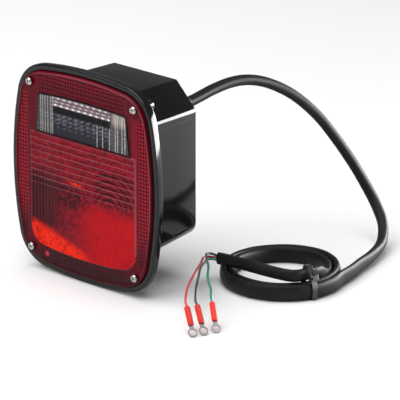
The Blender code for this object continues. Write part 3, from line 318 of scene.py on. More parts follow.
def sleeve_half(lying, at_tail, wave):
    """Half the sleeve's size in one direction: round in the arch, pressed where it lies, pressed
    less in the last stretch, and a little uneven wherever it lies."""
    half = (SLEEVE_WIDTH + (lying - SLEEVE_WIDTH) * flat) / 2 + (at_tail - lying) / 2 * tail
    return half * (1 + wave * waves * flat)


half_side = sleeve_half(LYING_THICKNESS, TAIL_THICKNESS, -WAVE_SIDE)
half_up = sleeve_half(LYING_HEIGHT, TAIL_HEIGHT, WAVE_UP)
rings = swept_rings(sleeve_path, half_side, half_up, SLEEVE_STEPS, SLEEVE_SQUARENESS)
tip_side, tip_up = half_side[-1] - TIP_WALL, half_up[-1] - TIP_WALL
tip_back = round(TIP_DEPTH / SLEEVE_SPACING)
tip = swept_rings(sleeve_path[-6:], tip_side, tip_up, SLEEVE_STEPS, SLEEVE_SQUARENESS)
rings = np.concatenate([rings, tip[-1:], tip[-1 - tip_back : -tip_back]])
sleeve = make_piece(
    "wire_sleeve",
    rings.reshape(-1, 3),
    capped_faces(len(rings), SLEEVE_STEPS),
    sleeve_pvc,
    "lamp",
    ("cable_sleeve", "cable_coil", "cable_tail"),
    50.0,
)


# Tie. A black nylon tie round the bundle of turns, with its ratchet head on the outer shoulder
# and the cut end of its strap standing out of the head.
TIE_ANGLE = math.radians(-20.0)
TIE_WIDTH = 0.0046
TIE_THICKNESS = 0.0012
TIE_OVER_FLOOR = 0.0001
TIE_BEVEL = 0.00025
# The strap's loop round the bundle's section: distance from the coil's middle and height
TIE_LOOP = [
    (0.0370, 0.0006),
    (0.0440, 0.0004),
    (0.0510, 0.0006),
    (0.0529, 0.0030),
    (0.0531, 0.0080),
    (0.0524, 0.0130),
    (0.0490, 0.0195),
    (0.0458, 0.0246),
    (0.0425, 0.0268),
    (0.0388, 0.0258),
    (0.0362, 0.0215),
    (0.0352, 0.0140),
    (0.0352, 0.0060),
    (0.0356, 0.0022),
]


def radial_points(distance, across, height):
    """Points at a distance from the coil's middle along the tie's direction, and across it."""
    c, s = math.cos(TIE_ANGLE), math.sin(TIE_ANGLE)
    distance, across, height = np.broadcast_arrays(distance, across, height)
    x = COIL_X + distance * c - across * s
    y = COIL_Y + distance * s + across * c
    return np.stack([x, y, FLOOR_Z + height], -1)


nylon = grained("tie_nylon", (0.016, 0.016, 0.017), 0.34, grain=1400.0, depth=0.06)
loop = np.array(TIE_LOOP)
outwards = loop - loop.mean(0)
outwards /= np.linalg.norm(outwards, axis=1)[:, None]
outer_loop = loop + outwards * TIE_THICKNESS
outer_loop[:, 1] = np.maximum(outer_loop[:, 1], TIE_OVER_FLOOR)
half = TIE_WIDTH / 2
edges = ((loop, -half), (outer_loop, -half), (outer_loop, half), (loop, half))
tie_points = [radial_points(ring[:, 0], side, ring[:, 1]) for ring, side in edges]
tie_faces = ring_faces(4, len(loop), closed_along=True)


def add_tube(points, faces, rings):
    """Adds a tube with closed ends to a list of point arrays and a list of faces."""
    first = sum(len(p) for p in points)
    points.append(np.concatenate(rings))
    faces.extend(capped_faces(len(rings), len(rings[0]), first))


def tilted_block(middle, lean, sizes, shift=(0.0, 0.0)):
    """A block in the tie's own frame, sized along the lean, outwards from it and across: the four
    corners of one end and those of the other."""
    length, depth, width = (s / 2 for s in sizes)
    along = np.array((math.cos(lean), math.sin(lean)))
    out = np.array((-along[1], along[0]))
    centre = np.array(middle) + along * shift[0] + out * shift[1]
    ends = []
    for across in (-width, width):
        spots = [
            centre + along * a * length + out * o * depth
            for a, o in ((-1, -1), (1, -1), (1, 1), (-1, 1))
        ]
        ends.append([radial_points(spot[0], across, spot[1]) for spot in spots])
    return ends


HEAD_SPOT, HEAD_LEAN = (0.0512, 0.0190), math.radians(-62.0)
HEAD_SIZES = (0.0052, 0.0048, 0.0072)
PAWL_SIZES = (0.0020, 0.0016, 0.0052)
PAWL_SHIFT = (0.0008, 0.0030)
END_SIZES = (0.0060, 0.0012, 0.0040)
STRAP_END, STRAP_END_LEAN = (0.0524, 0.0238), math.radians(75.0)
for block in (
    tilted_block(HEAD_SPOT, HEAD_LEAN, HEAD_SIZES),
    tilted_block(HEAD_SPOT, HEAD_LEAN, PAWL_SIZES, PAWL_SHIFT),
    tilted_block(STRAP_END, STRAP_END_LEAN, END_SIZES),
):
    add_tube(tie_points, tie_faces, block)
tie = make_piece(
    "tie_strap", np.concatenate(tie_points), tie_faces, nylon, "lamp", ("cable_tie",)
)
bevel = tie.modifiers.new("softened", "BEVEL")
bevel.width = TIE_BEVEL
bevel.segments = 2


# Cores. Three insulated wires come out of the sleeve's end and bend down to the floor, each into
# a red insulating sleeve crimped on a tinned ring terminal.
CORE_RADIUS = 0.00105
CORE_SPACING = 0.0015
CORE_STEPS = 14
CORE_ROUTES = {
    "black": [
        (0.0783, 0.0020, 0.0220),
        (0.0735, 0.0005, 0.0233),
        (0.0728, -0.0060, 0.0246),
        (0.0853, -0.0196, 0.0262),
        (0.0959, -0.0382, 0.0275),
        (0.1093, -0.0559, 0.0270),
        (0.1215, -0.0720, 0.0258),
        (0.1326, -0.0852, 0.0219),
        (0.1362, -0.0874, 0.0185),
    ],
    "red": [
        (0.0785, 0.0035, 0.0192),
        (0.0722, 0.0020, 0.0197),
        (0.0702, -0.0060, 0.0210),
        (0.0812, -0.0225, 0.0225),
        (0.0960, -0.0459, 0.0245),
        (0.1116, -0.0704, 0.0250),
        (0.1215, -0.0840, 0.0245),
        (0.1293, -0.0934, 0.0219),
        (0.1328, -0.0957, 0.0185),
    ],
    "green": [
        (0.0781, 0.0005, 0.0192),
        (0.0748, -0.0015, 0.0196),
        (0.0755, -0.0080, 0.0208),
        (0.0880, -0.0203, 0.0215),
        (0.1024, -0.0372, 0.0225),
        (0.1175, -0.0528, 0.0235),
        (0.1290, -0.0630, 0.0240),
        (0.1378, -0.0722, 0.0219),
        (0.1411, -0.0748, 0.0185),
    ],
}
CORE_COLOURS = {
    "black": (0.022, 0.022, 0.024),
    "red": (0.62, 0.030, 0.040),
    "green": (0.004, 0.235, 0.165),
}
crimp_red = grained(
    "crimp_sleeve_red", (0.74, 0.030, 0.012), 0.32, grain=700.0, depth=0.04, mottle=0.18, gloss=0.2
)
tinned = grained("tinned_copper", (0.17, 0.17, 0.165), 0.34, metallic=1.0, grain=1600.0, depth=0.08)
for colour, route in CORE_ROUTES.items():
    path, along = smooth_route(above_floor(route), CORE_SPACING)
    rings = swept_rings(path, CORE_RADIUS, CORE_RADIUS, CORE_STEPS)
    pvc = grained(f"core_pvc_{colour}", CORE_COLOURS[colour], 0.33, grain=1200.0, depth=0.05)
    core = make_piece(
        f"wire_{colour}",
        rings.reshape(-1, 3),
        capped_faces(len(rings), CORE_STEPS),
        pvc,
        "lamp",
        (f"core_{colour}",),
        50.0,
    )
    crimp, ring = cad[f"shrink_{colour}"], cad[f"ring_terminal_{colour}"]
    crimp.data.materials[0] = crimp_red
    ring.data.materials[0] = tinned


# Housing. One black ABS moulding: a bowed bezel with a softened rim, and behind it a deep box with
# chamfered upper corners, a little narrower at the back so that it leaves its mould.
MM = 0.001
BEZEL_HALF = (82.25, 91.5)
BEZEL_BOW = (14.4, 9.8)
BEZEL_CORNER = 33.0
BEZEL_DROP = 10.0
FACE_Y = -75.0
FLANGE_BACK = -68.0
LENS_SEAT = -70.2
RIM = 5.0
BOX_BACK_HALF = 56.5
BOX_TOP, BOX_BOTTOM = 65.4, -65.9
SIDE_DRAFT, TOP_DRAFT, BOTTOM_DRAFT = 0.0349, 0.0192, 0.0910
BOX_CHAMFER = 21.5
BOX_FOOT_RADIUS = 12.0
BOX_EDGE_RADIUS = 2.2
BOX_BROW_RADIUS = 7.0
WALL = 2.5
BACK_WALL = 3.0
ARC_POINTS = 40
CORNER_POINTS = 7
# One face closes the flat back plate inside this inset, in mm
PLATE_INSET = 9.0
# Where the box and its cavity start, just inside the flange
BOX_START = FLANGE_BACK - 0.6


def bezel_curve(inset):
    """The bezel's outline in mm round its own middle, moved inwards.

    A long arc on each side, of the radius (h^2 + b^2) / 2b that its half height h and bow b give,
    joined by corner arcs that touch both.
    """
    (half_w, half_h), (side_bow, end_bow) = BEZEL_HALF, BEZEL_BOW
    side_radius = (half_h**2 + side_bow**2) / (2 * side_bow)
    end_radius = (half_w**2 + end_bow**2) / (2 * end_bow)
    side_middle = np.array((half_w - side_radius, 0.0))
    end_middle = np.array((0.0, half_h - end_radius))
    near, far = side_radius - BEZEL_CORNER, end_radius - BEZEL_CORNER
    between = end_middle - side_middle
    reach = np.linalg.norm(between)
    along = (near**2 - far**2 + reach**2) / (2 * reach)
    ahead = between / reach
    across = math.sqrt(near**2 - along**2)
    corner = side_middle + ahead * along + np.array((-ahead[1], ahead[0])) * across
    start = math.atan2(*(corner - side_middle)[::-1])
    stop = math.atan2(*(corner - end_middle)[::-1])
    arcs = (
        (side_middle, side_radius, 0.0, start),
        (corner, BEZEL_CORNER, start, stop),
        (end_middle, end_radius, stop, math.pi / 2),
    )
    quarter = []
    for middle, radius, a0, a1 in arcs:
        turn = np.linspace(a0, a1, ARC_POINTS)[:-1]
        quarter.append(middle + (radius - inset) * np.stack([np.cos(turn), np.sin(turn)], 1))
    quarter = np.concatenate([*quarter, [[0.0, half_h - inset]]])
    upper = np.concatenate([quarter, quarter[-2::-1] * (-1, 1)])
    return np.concatenate([upper, upper[-2:0:-1] * (1, -1)])


def resampled(curve, count):
    """Even points along a closed outline."""
    closed = np.vstack([curve, curve[:1]])
    along = np.concatenate([[0.0], np.cumsum(np.linalg.norm(np.diff(closed, axis=0), axis=1))])
    even = np.linspace(0.0, along[-1], count, endpoint=False)
    return np.stack([np.interp(even, along, closed[:, k]) for k in range(2)], 1)


def reach_at(curve, turn):
    """How far a closed curve lies from its middle at each angle."""
    angles = np.arctan2(curve[:, 1], curve[:, 0]) % (2 * math.pi)
    order = np.argsort(angles)
    return np.interp(
        turn % (2 * math.pi), angles[order], np.hypot(*curve.T)[order], period=2 * math.pi
    )


def rounded_polygon(corners, radii):
    """A polygon with each corner turned into an arc that touches its two sides."""
    corners = np.array(corners, float)
    out = []
    for k, (corner, radius) in enumerate(zip(corners, radii)):
        back = corners[k - 1] - corner
        ahead = corners[(k + 1) % len(corners)] - corner
        back /= np.linalg.norm(back)
        ahead /= np.linalg.norm(ahead)
        half_angle = math.acos(np.clip(back @ ahead, -1, 1)) / 2
        bisector = (back + ahead) / np.linalg.norm(back + ahead)
        middle = corner + bisector * radius / math.sin(half_angle)
        first = corner + back * radius / math.tan(half_angle) - middle
        last = corner + ahead * radius / math.tan(half_angle) - middle
        a0 = math.atan2(first[1], first[0])
        sweep = (math.atan2(last[1], last[0]) - a0 + math.pi) % (2 * math.pi) - math.pi
        turn = a0 + sweep * np.linspace(0.0, 1.0, CORNER_POINTS)
        out.append(middle + radius * np.stack([np.cos(turn), np.sin(turn)], 1))
    return np.concatenate(out)


def box_section(y, inset):
    """The box's outline at depth y, moved inwards, as points in mm."""
    forward = -y
    half = BOX_BACK_HALF + forward * SIDE_DRAFT - inset
    top = BOX_TOP + forward * TOP_DRAFT - inset
    bottom = BOX_BOTTOM - forward * BOTTOM_DRAFT + inset
    chamfer = BOX_CHAMFER - (2 - math.sqrt(2)) * inset
    foot = max(0.5, BOX_FOOT_RADIUS - inset)
    edge = max(0.3, BOX_EDGE_RADIUS - inset)
    corners = [
        (half, bottom),
        (half, top - chamfer),
        (half - chamfer, top),
        (chamfer - half, top),
        (-half, top - chamfer),
        (-half, bottom),
    ]
    brow = max(1.0, BOX_BROW_RADIUS - inset)
    flat = rounded_polygon(corners, [foot, brow, edge, edge, brow, foot])
    return np.stack([flat[:, 0], np.full(len(flat), float(y)), flat[:, 1]], 1)


def face_ring(reach, y, turn):
    """Points at a distance from the bezel's middle at each angle, at depth y, in mm."""
    z = reach * np.sin(turn) - BEZEL_DROP
    return np.stack([reach * np.cos(turn), np.full(len(turn), float(y)), z], 1)


def bezel_ring(inset, y, turn):
    """The bezel's outline at depth y, sampled at the given angles, in mm."""
    return face_ring(reach_at(bezel_curve(inset), turn), y, turn)


abs_black = grained(
    "gloss_abs", (0.0095, 0.0098, 0.0105), 0.10, grain=260.0, depth=0.012, mottle=0.25, gloss=0.28
)
ROUND = np.linspace(0.0, 2 * math.pi, 360, endpoint=False)
mouth = box_section(FLANGE_BACK, WALL)
mouth_curve = resampled(np.stack([mouth[:, 0], mouth[:, 2] + BEZEL_DROP], 1), 2400)
mouth_reach = reach_at(mouth_curve, ROUND)
rim_profile = [
    (RIM + 0.1, LENS_SEAT),
    (RIM, LENS_SEAT - 0.1),
    (RIM, FACE_Y + 0.5),
    (RIM - 0.15, FACE_Y + 0.15),
    (RIM - 0.5, FACE_Y),
    (1.5, FACE_Y),
    (0.8, FACE_Y + 0.12),
    (0.3, FACE_Y + 0.45),
    (0.05, FACE_Y + 1.0),
    (0.0, FACE_Y + 1.6),
    (0.0, FLANGE_BACK - 0.9),
    (0.25, FLANGE_BACK - 0.25),
    (0.9, FLANGE_BACK),
    (6.0, FLANGE_BACK),
]
rings = [face_ring(mouth_reach, LENS_SEAT, ROUND)]
rings += [bezel_ring(inset, y, ROUND) for inset, y in rim_profile]
rings += [face_ring(mouth_reach, FLANGE_BACK, ROUND)]
points = [np.concatenate(rings)]
faces = ring_faces(len(rings), len(ROUND), closed_along=True)

# Depth and inset of the box's sections, outside from the flange to the plate, then inside and back
outside = [
    (BOX_START, 0.0),
    (-60.0, 0.0),
    (-30.0, 0.0),
    (-1.6, 0.0),
    (-0.7, 0.22),
    (-0.15, 0.8),
    (0.0, 1.6),
    (0.0, PLATE_INSET),
]
inside = [
    (-BACK_WALL, PLATE_INSET),
    (-BACK_WALL, WALL + 0.5),
    (-BACK_WALL - 0.5, WALL),
    (BOX_START, WALL),
]
sections = [box_section(y, inset) for y, inset in outside + inside]
count = len(sections[0])
front = len(points[0])
plate = front + (len(outside) - 1) * count
plate_inside = plate + count
back = front + (len(sections) - 1) * count
points.append(np.concatenate(sections))
faces += ring_faces(len(outside), count, first=front)
faces += ring_faces(len(inside), count, first=plate_inside)
faces.append([plate + k for k in range(count)])
faces.append([plate_inside + k for k in range(count)])
for k in range(count):
    j = (k + 1) % count
    faces.append([front + k, front + j, back + j, back + k])

# Bosses behind the flange for the four lens screws
SCREW_X, SCREW_Z = 58.6, 72.1
BOSS_PROFILE = [(4.8, FLANGE_BACK - 0.5), (4.7, -58.5), (4.2, -57.6), (3.6, -57.3)]
turn = np.linspace(0.0, 2 * math.pi, 28, endpoint=False)
for x in (-SCREW_X, SCREW_X):
    for z in (-SCREW_Z, SCREW_Z):
        boss = [
            (x, y, z - BEZEL_DROP)
            + radius * np.stack([np.cos(turn), np.zeros(len(turn)), np.sin(turn)], 1)
            for radius, y in BOSS_PROFILE
        ]
        add_tube(points, faces, boss)

# A fine raised line along the box's side
LINE_Z, LINE_FRONT, LINE_REAR = 36.6, -63.0, -6.0
LINE_SECTION = ((-0.6, -0.35), (0.35, -0.2), (0.35, 0.2), (-0.6, 0.35))
line = []
for y in (LINE_FRONT, LINE_REAR):
    wall = BOX_BACK_HALF - y * SIDE_DRAFT
    line.append([(wall + x, y, LINE_Z + z) for x, z in LINE_SECTION])
add_tube(points, faces, line)
make_piece(
    "housing_shell",
    np.concatenate(points) * MM,
    faces,
    abs_black,
    "lamp",
    ("housing",),
    38.0,
)


# Lens. A red acrylic moulding with its optics cut into it: a border of small reflex prisms, smooth
# bands down both sides, ribs over the upper part of the stop field and fine dimples below them.
LENS_FACE = -77.5
LENS_EDGE = RIM + 0.5
LENS_COLUMNS, LENS_ROWS = 270, 300
FIELD_HALF, FIELD_TOP, FIELD_FOOT = 59.2, 29.6, -71.3
FIELD_FOOT_BOW = 5.0
FIELD_CORNER = 14.0
WINDOW_TOP_HALF, WINDOW_FOOT_HALF = 48.8, 52.8
WINDOW_LOW, WINDOW_HIGH, WINDOW_BOW = 31.2, 63.5, 2.0
PRISM_PITCH = 2.9
RIB_PITCH, FLUTE_PITCH, DIMPLE_PITCH = 5.5, 3.6, 2.6
# Depths in mm: of each kind of optic, of the border under the stop field, and of the window's seat
PRISM_DEPTH, RIB_DEPTH, FLUTE_DEPTH, DIMPLE_DEPTH = 0.28, 0.55, 0.35, 0.20
BORDER_SINK, WINDOW_SINK = 0.9, 2.4
# The smooth side bands' far edge and far end, from the middle
BAND_EDGE, BAND_END = 62.5, 60.0
SKIRT_START = 1.2


def window_half(z):
    """Half the window's width at a height: it grows evenly towards its foot."""
    share = (WINDOW_HIGH - z) / (WINDOW_HIGH - WINDOW_LOW)
    return WINDOW_TOP_HALF + (WINDOW_FOOT_HALF - WINDOW_TOP_HALF) * share


def window_top(x):
    """Height of the window's upper edge, which is bowed."""
    return WINDOW_HIGH + WINDOW_BOW * (1 - (x / WINDOW_TOP_HALF) ** 2)


def in_window(x, z, grow=0.0):
    """How far inside the window, made larger all round, a point lies, in mm: negative outside."""
    return np.minimum.reduce([window_half(z) - np.abs(x), z - WINDOW_LOW, window_top(x) - z]) + grow


def in_field(x, z):
    """How far inside the stop field a point lies, in mm: negative outside. Its foot follows the
    bezel's bow and its lower corners are large arcs."""
    foot = FIELD_FOOT + FIELD_FOOT_BOW * (x / FIELD_HALF) ** 2
    over = np.maximum(np.abs(x) - (FIELD_HALF - FIELD_CORNER), 0.0)
    lift = FIELD_CORNER - np.sqrt(np.maximum(FIELD_CORNER**2 - over**2, 0.0))
    return np.minimum.reduce([FIELD_HALF - np.abs(x), FIELD_TOP - z, z - foot - lift])


def prism_pattern(x, z):
    """Reflex prisms: two slanting cosine waves multiplied, between -1 and 1."""
    a = math.pi / PRISM_PITCH
    return np.cos(a * (x + 0.9 * z)) * np.cos(a * (x - 0.9 * z))


def wave(x, pitch):
    """A cosine wave between -1 and 1."""
    return np.cos(2 * math.pi * x / pitch)


def rib_wave(z):
    """The ribs: 1 on the crest of each and 0 between two."""
    return np.abs(((z - FIELD_TOP) / RIB_PITCH) % 1.0 - 0.5) * 2.0


def near_screw(x, z, reach):
    """1 round the four screws, falling to 0 at the reach."""
    gap = np.hypot(np.abs(x) - SCREW_X, np.abs(z) - SCREW_Z)
    return 1.0 - eased(gap, reach * 0.75, reach)


def lens_relief(x, z, edge):
    """How far the face stands out at each point, in mm: negative where the optics are cut in. Edge
    is the distance from its outline."""
    field = eased(in_field(x, z), -0.6, 0.6)
    pane = eased(in_window(x, z), -0.3, 0.3)
    prisms = PRISM_DEPTH * (prism_pattern(x, z) - 1.0)
    prisms = prisms * eased(edge, 1.5, 3.0) * (1 - near_screw(x, z, 13.0))
    band = eased(np.abs(x), 55.0, 57.0) * eased(BAND_END - np.abs(z), -2.0, 2.0)
    smooth = np.where(np.abs(x) < BAND_EDGE, band, 0.0)
    border = prisms * (1 - smooth) * (1 - eased(in_window(x, z, 3.0), 0.0, 1.0))
    upper = eased(z, -24.0, -12.0)
    ribs = RIB_DEPTH * (rib_wave(z) ** 2 - 1.0) * upper
    flutes = FLUTE_DEPTH * (wave(x, FLUTE_PITCH) - 1.0) * (1 - eased(x, -46.0, -38.0))
    dimples = DIMPLE_DEPTH * (wave(x, DIMPLE_PITCH) * wave(z, DIMPLE_PITCH) - 1.0) * (1 - upper)
    inside = (ribs + flutes + dimples) * eased(in_field(x, z), 0.5, 1.5)
    out = -BORDER_SINK + field * (BORDER_SINK + inside) + (1 - field) * border
    return np.where(pane > 0, out * (1 - pane) - WINDOW_SINK * pane, out)


def filled(x, colour):
    """The same colour at every point."""
    return np.zeros((*x.shape, 3)) + np.array(colour)


def mixed(under, over, share):
    """One colour laid over another by a share for each point."""
    return under + (np.array(over) - under) * np.asarray(share)[..., None]


def hashed(x, z, size, seed=0.0):
    """A steady random value between 0 and 1 for each cell of a square grid."""
    cell = np.floor(x / size) * 12.9898 + np.floor(z / size) * 78.233 + seed
    return np.mod(np.sin(cell) * 43758.5453, 1.0)


# In the formulas below, the limits given to eased for x, z and edge are places on the face in mm
RED, RIGHT_BAND_LIT_RED, RED_DEEP = (0.105, 0.003, 0.009), (0.19, 0.003, 0.014), (0.20, 0.004, 0.014)
PRISM_DARK, PRISM_LIT = (0.030, 0.002, 0.005), (0.36, 0.006, 0.022)
LENS_PAINTED_SHADE, LENS_GLINT = (0.026, 0.010, 0.011), (0.40, 0.07, 0.10)
PAINTED_LIGHT_RED, REFLECTED_LIGHT_RED, HIGHLIGHT_STREAK_RED = (0.58, 0.001, 0.005), (0.98, 0.022, 0.002), (0.80, 0.030, 0.006)
SHADE_LEFT, SHADE_CENTRE, SHADE_ARC = (
    (0.022, 0.004, 0.006),
    (0.018, 0.004, 0.006),
    (0.016, 0.002, 0.004),
)
FLUTE_HIGHLIGHT_PINK, RIB_HIGHLIGHT_PINK, FIELD_EDGE_HIGHLIGHT = (0.15, 0.026, 0.034), (0.30, 0.085, 0.095), (0.34, 0.08, 0.10)
DOT_RED, WINDOW_GROOVE_SHADE, GATE_RED = (0.10, 0.002, 0.005), (0.020, 0.006, 0.008), (0.55, 0.03, 0.04)
# Middle and pitch of the dark arcs over the ribs, and the mark of the mould's gate
ARC_X, ARC_Z, ARC_PITCH = 30.0, -22.0, 5.2
GATE_X, GATE_Z = -42.2, -75.4


def border_tones(x, z, edge):
    """The colour of the lens's border: prisms with painted light, smooth bands, painted shade in
    its lower corners and a painted highlight along its rim.
    """
    prism = eased(prism_pattern(x, z), -0.35, 0.45)
    # Painted light: the prisms are brighter towards both sides above their lower part, and towards
    # the top in the middle.
    side_light = eased(np.abs(x), 50.0, 66.0)
    bright = 0.25 + 0.75 * side_light * eased(z, -58.0, -30.0)
    bright = bright + 0.35 * eased(z, 66.0, 82.0) * (1 - side_light)
    prisms = mixed(filled(x, PRISM_DARK), PRISM_LIT, prism * bright)
    zone = eased(edge, 2.0, 3.5) * (1 - near_screw(x, z, 14.0))
    band = np.where(np.abs(x) < BAND_EDGE, eased(BAND_END - np.abs(z), -6.0, 0.0), 0.0)
    band = np.maximum(band, eased(in_window(x, z, 5.0), 0.0, 1.0))
    tone = mixed(filled(x, RED), prisms, zone * (1 - band))
    # Painted light: the smooth band on the right is a lighter red above its lower end.
    tone = mixed(tone, RIGHT_BAND_LIT_RED, band * eased(x, 54.0, 57.0) * eased(z, -60.0, -40.0))
    # Painted shade: the lens darkens along its foot and in its lower left corner.
    painted_shade = 1 - eased(z, -78.0, -66.0)
    painted_shade = painted_shade + (1 - eased(x, -76.0, -58.0)) * (1 - eased(z, -58.0, -36.0))
    tone = mixed(tone, LENS_PAINTED_SHADE, 0.75 * np.clip(painted_shade, 0, 1))
    glint = (1 - eased(np.abs(edge - 1.4), 0.3, 0.8)) * eased(x + z, 0.0, 70.0)
    return mixed(tone, LENS_GLINT, 0.8 * glint)


def field_tones(x, z):
    """The stop field's colour: painted light low on the right and a painted glow low on the left,
    painted shade at the left and in the middle, and painted highlights on the ribs and the flutes."""
    speckle = np.clip(0.55 + 0.9 * hashed(x, z, 2.6), 0.5, 1.5)
    tone = filled(x, RED_DEEP) * speckle[..., None]
    # Painted light: the lower right of the field is brighter, unevenly from cell to cell.
    painted_light = eased(x, -20.0, 22.0) * (1 - eased(z, -30.0, -14.0))
    tone = mixed(tone, PAINTED_LIGHT_RED, painted_light * (0.66 + 0.34 * hashed(x, z, 1.9, 3.0)))
    shade = (1 - eased(x, -40.0, -12.0)) * (1 - eased(z, -12.0, 6.0)) * eased(z, -56.0, -44.0)
    tone = mixed(tone, SHADE_LEFT, shade * 0.88)
    centre = 1 - eased(np.hypot(x + 14.0, (z + 18.0) * 1.3), 10.0, 26.0)
    tone = mixed(tone, SHADE_CENTRE, centre * eased(hashed(x, z, 2.2, 9.0), 0.2, 0.6) * 0.85)
    arcs = eased(wave(np.hypot(x - ARC_X, z - ARC_Z), ARC_PITCH), -0.1, 0.6)
    arcs = arcs * eased(z, -22.0, -14.0) * (1 - eased(z, 8.0, 16.0))
    tone = mixed(tone, SHADE_ARC, arcs * eased(x, 10.0, 18.0) * 0.85)
    # Painted highlights: pale lines along the flutes on the left.
    flute_highlight = eased(wave(x, FLUTE_PITCH), 0.2, 0.9) * (1 - eased(x, -34.0, -26.0))
    tone = mixed(tone, FLUTE_HIGHLIGHT_PINK, flute_highlight * 0.35 * eased(z, -48.0, -40.0))
    # Painted highlights: pale lines along the crests of the ribs.
    rib_highlight = eased(rib_wave(z), 0.72, 0.95) * eased(z, -22.0, -8.0)
    tone = mixed(tone, RIB_HIGHLIGHT_PINK, rib_highlight * 0.58)
    # Painted highlight: a short bright slanting streak left of the field's middle.
    highlight_streak = 1 - eased(np.abs(z + 8.0 + 0.15 * x), 0.5, 2.4)
    highlight_streak = highlight_streak * (1 - eased(np.abs(x + 9.0), 5.0, 12.0))
    tone = mixed(tone, HIGHLIGHT_STREAK_RED, highlight_streak * eased(hashed(x, z, 1.6, 11.0), 0.35, 0.7))
    # Painted light: a glow low on the left, light thrown back by the white reflector behind the
    # lens, patchy from cell to cell.
    reflected_light_top = -46.0 - 0.28 * (x + 60.0)
    reflected_light = eased(reflected_light_top - z, -3.0, 5.0) * (1 - eased(x, -6.0, 16.0)) * eased(x, -60.0, -57.0)
    sparkle = eased(hashed(x, z, 2.4, 5.0), 0.10, 0.30)
    tone = mixed(tone, REFLECTED_LIGHT_RED, reflected_light * (0.50 + 0.50 * sparkle))
    dots = eased(wave(x, 3.0) * wave(z, 3.0), -0.1, 0.7) * (1 - eased(z, -26.0, -12.0))
    return mixed(tone, DOT_RED, dots * 0.66 * (0.5 + 0.5 * hashed(x, z, 3.0, 8.0)))


def lens_tones(x, z, edge):
    """The lens's colour at each point, as its optics show it, with painted light and shade."""
    field = eased(in_field(x, z), -0.2, 0.6)
    tone = mixed(border_tones(x, z, edge), field_tones(x, z), field)
    # Painted highlight: a bright line along the field's edge, stronger on the right.
    field_edge_highlight = 1 - eased(np.abs(in_field(x, z)), 0.35, 0.9)
    tone = mixed(tone, FIELD_EDGE_HIGHLIGHT, field_edge_highlight * (0.35 + 0.65 * eased(x, 50.0, 57.0)) * 0.75)
    # Painted shade: a dark line in the groove round the window.
    groove_shade = 1 - eased(np.abs(in_window(x, z, 0.6)), 0.4, 1.0)
    tone = mixed(tone, WINDOW_GROOVE_SHADE, 0.8 * groove_shade)
    return mixed(tone, GATE_RED, 1 - eased(np.hypot(x - GATE_X, z - GATE_Z), 1.6, 2.8))


def toned(name, roughness):
    """Plastic whose colour is the mesh's own tone attribute, painted light and shade included,
    times a little noise.
    """
    white = (1.0, 1.0, 1.0)
    made = grained(name, white, roughness, grain=600.0, depth=0.015, coat=0.03, gloss=0.07)
    tree = made.node_tree
    shader = tree.nodes["Principled BSDF"]
    ramp = next(n for n in tree.nodes if n.type == "VALTORGB")
    tone = tree.nodes.new("ShaderNodeAttribute")
    tone.attribute_name = "tone"
    times = tree.nodes.new("ShaderNodeMix")
    times.data_type = "RGBA"
    times.blend_type = "MULTIPLY"
    times.inputs["Factor"].default_value = 1.0
    tree.links.new(tone.outputs["Color"], times.inputs[6])
    tree.links.new(ramp.outputs["Color"], times.inputs[7])
    tree.links.new(times.outputs[2], shader.inputs["Base Color"])
    shader.inputs["Coat Roughness"].default_value = 0.03
    return made


def grid_faces(rows, columns):
    """Quads of a grid of points laid out row by row."""
    r = np.arange(rows - 1)[:, None] * columns
    k = np.arange(columns - 1)[None, :]
    corner = (r + k).reshape(-1)
    return np.stack([corner, corner + 1, corner + columns + 1, corner + columns], 1).tolist()


def grid_border(rows, columns):
    """Indices round the edge of a grid, once and in order."""
    foot = np.arange(columns)
    right = np.arange(1, rows) * columns + columns - 1
    top = (rows - 1) * columns + np.arange(columns - 2, -1, -1)
    left = np.arange(rows - 2, 0, -1) * columns
    return np.concatenate([foot, right, top, left])


def slab(grid, loops):
    """A closed solid: a front grid, then loops of points that start from its border and end in a
    flat back."""
    rows, columns = grid.shape[:2]
    border = grid_border(rows, columns)
    size = len(border)
    points = np.concatenate([grid.reshape(-1, 3), *loops])
    faces = grid_faces(rows, columns)
    starts = [border] + [rows * columns + k * size + np.arange(size) for k in range(len(loops))]
    for near, far in zip(starts[:-1], starts[1:]):
        quads = np.stack([near, np.roll(near, -1), np.roll(far, -1), far], 1)
        faces += quads.tolist()
    faces.append(starts[-1].tolist())
    return points, faces


u = np.linspace(-1.0, 1.0, LENS_COLUMNS)[None, :] * np.ones((LENS_ROWS, 1))
v = np.linspace(-1.0, 1.0, LENS_ROWS)[:, None] * np.ones((1, LENS_COLUMNS))
square_x, square_z = u * BEZEL_HALF[0], v * BEZEL_HALF[1]
turn = np.arctan2(square_z, square_x)
share = np.maximum(np.abs(u), np.abs(v))
lens_reach = reach_at(bezel_curve(LENS_EDGE + SKIRT_START), turn)
lens_x, lens_z = share * lens_reach * np.cos(turn), share * lens_reach * np.sin(turn)
from_edge = (1 - share) * lens_reach * 0.93 + SKIRT_START
relief = lens_relief(lens_x, lens_z, from_edge) * eased(from_edge, SKIRT_START, 2.6)
front = np.stack([lens_x, LENS_FACE - relief, lens_z - BEZEL_DROP], -1)
border_turn = turn.reshape(-1)[grid_border(LENS_ROWS, LENS_COLUMNS)]
# The lens's side: how far in from its edge and how far behind its face each loop lies
skirt = [(0.55, 0.25), (0.12, 0.75), (0.0, 1.4), (0.0, 5.7), (3.0, 5.7), (3.0, 2.8)]
loops = [bezel_ring(LENS_EDGE + inset, LENS_FACE + back, border_turn) for inset, back in skirt]
points, faces = slab(front, loops)
tones = lens_tones(lens_x, lens_z, from_edge).reshape(-1, 3)
edge_tone = np.tile((0.10, 0.003, 0.009), (len(points) - len(tones), 1))
make_piece(
    "lens_moulding",
    points * MM,
    faces,
    toned("red_acrylic", 0.16),
    "lens_group",
    ("lens",),
    60.0,
    np.concatenate([tones, edge_tone]),
)


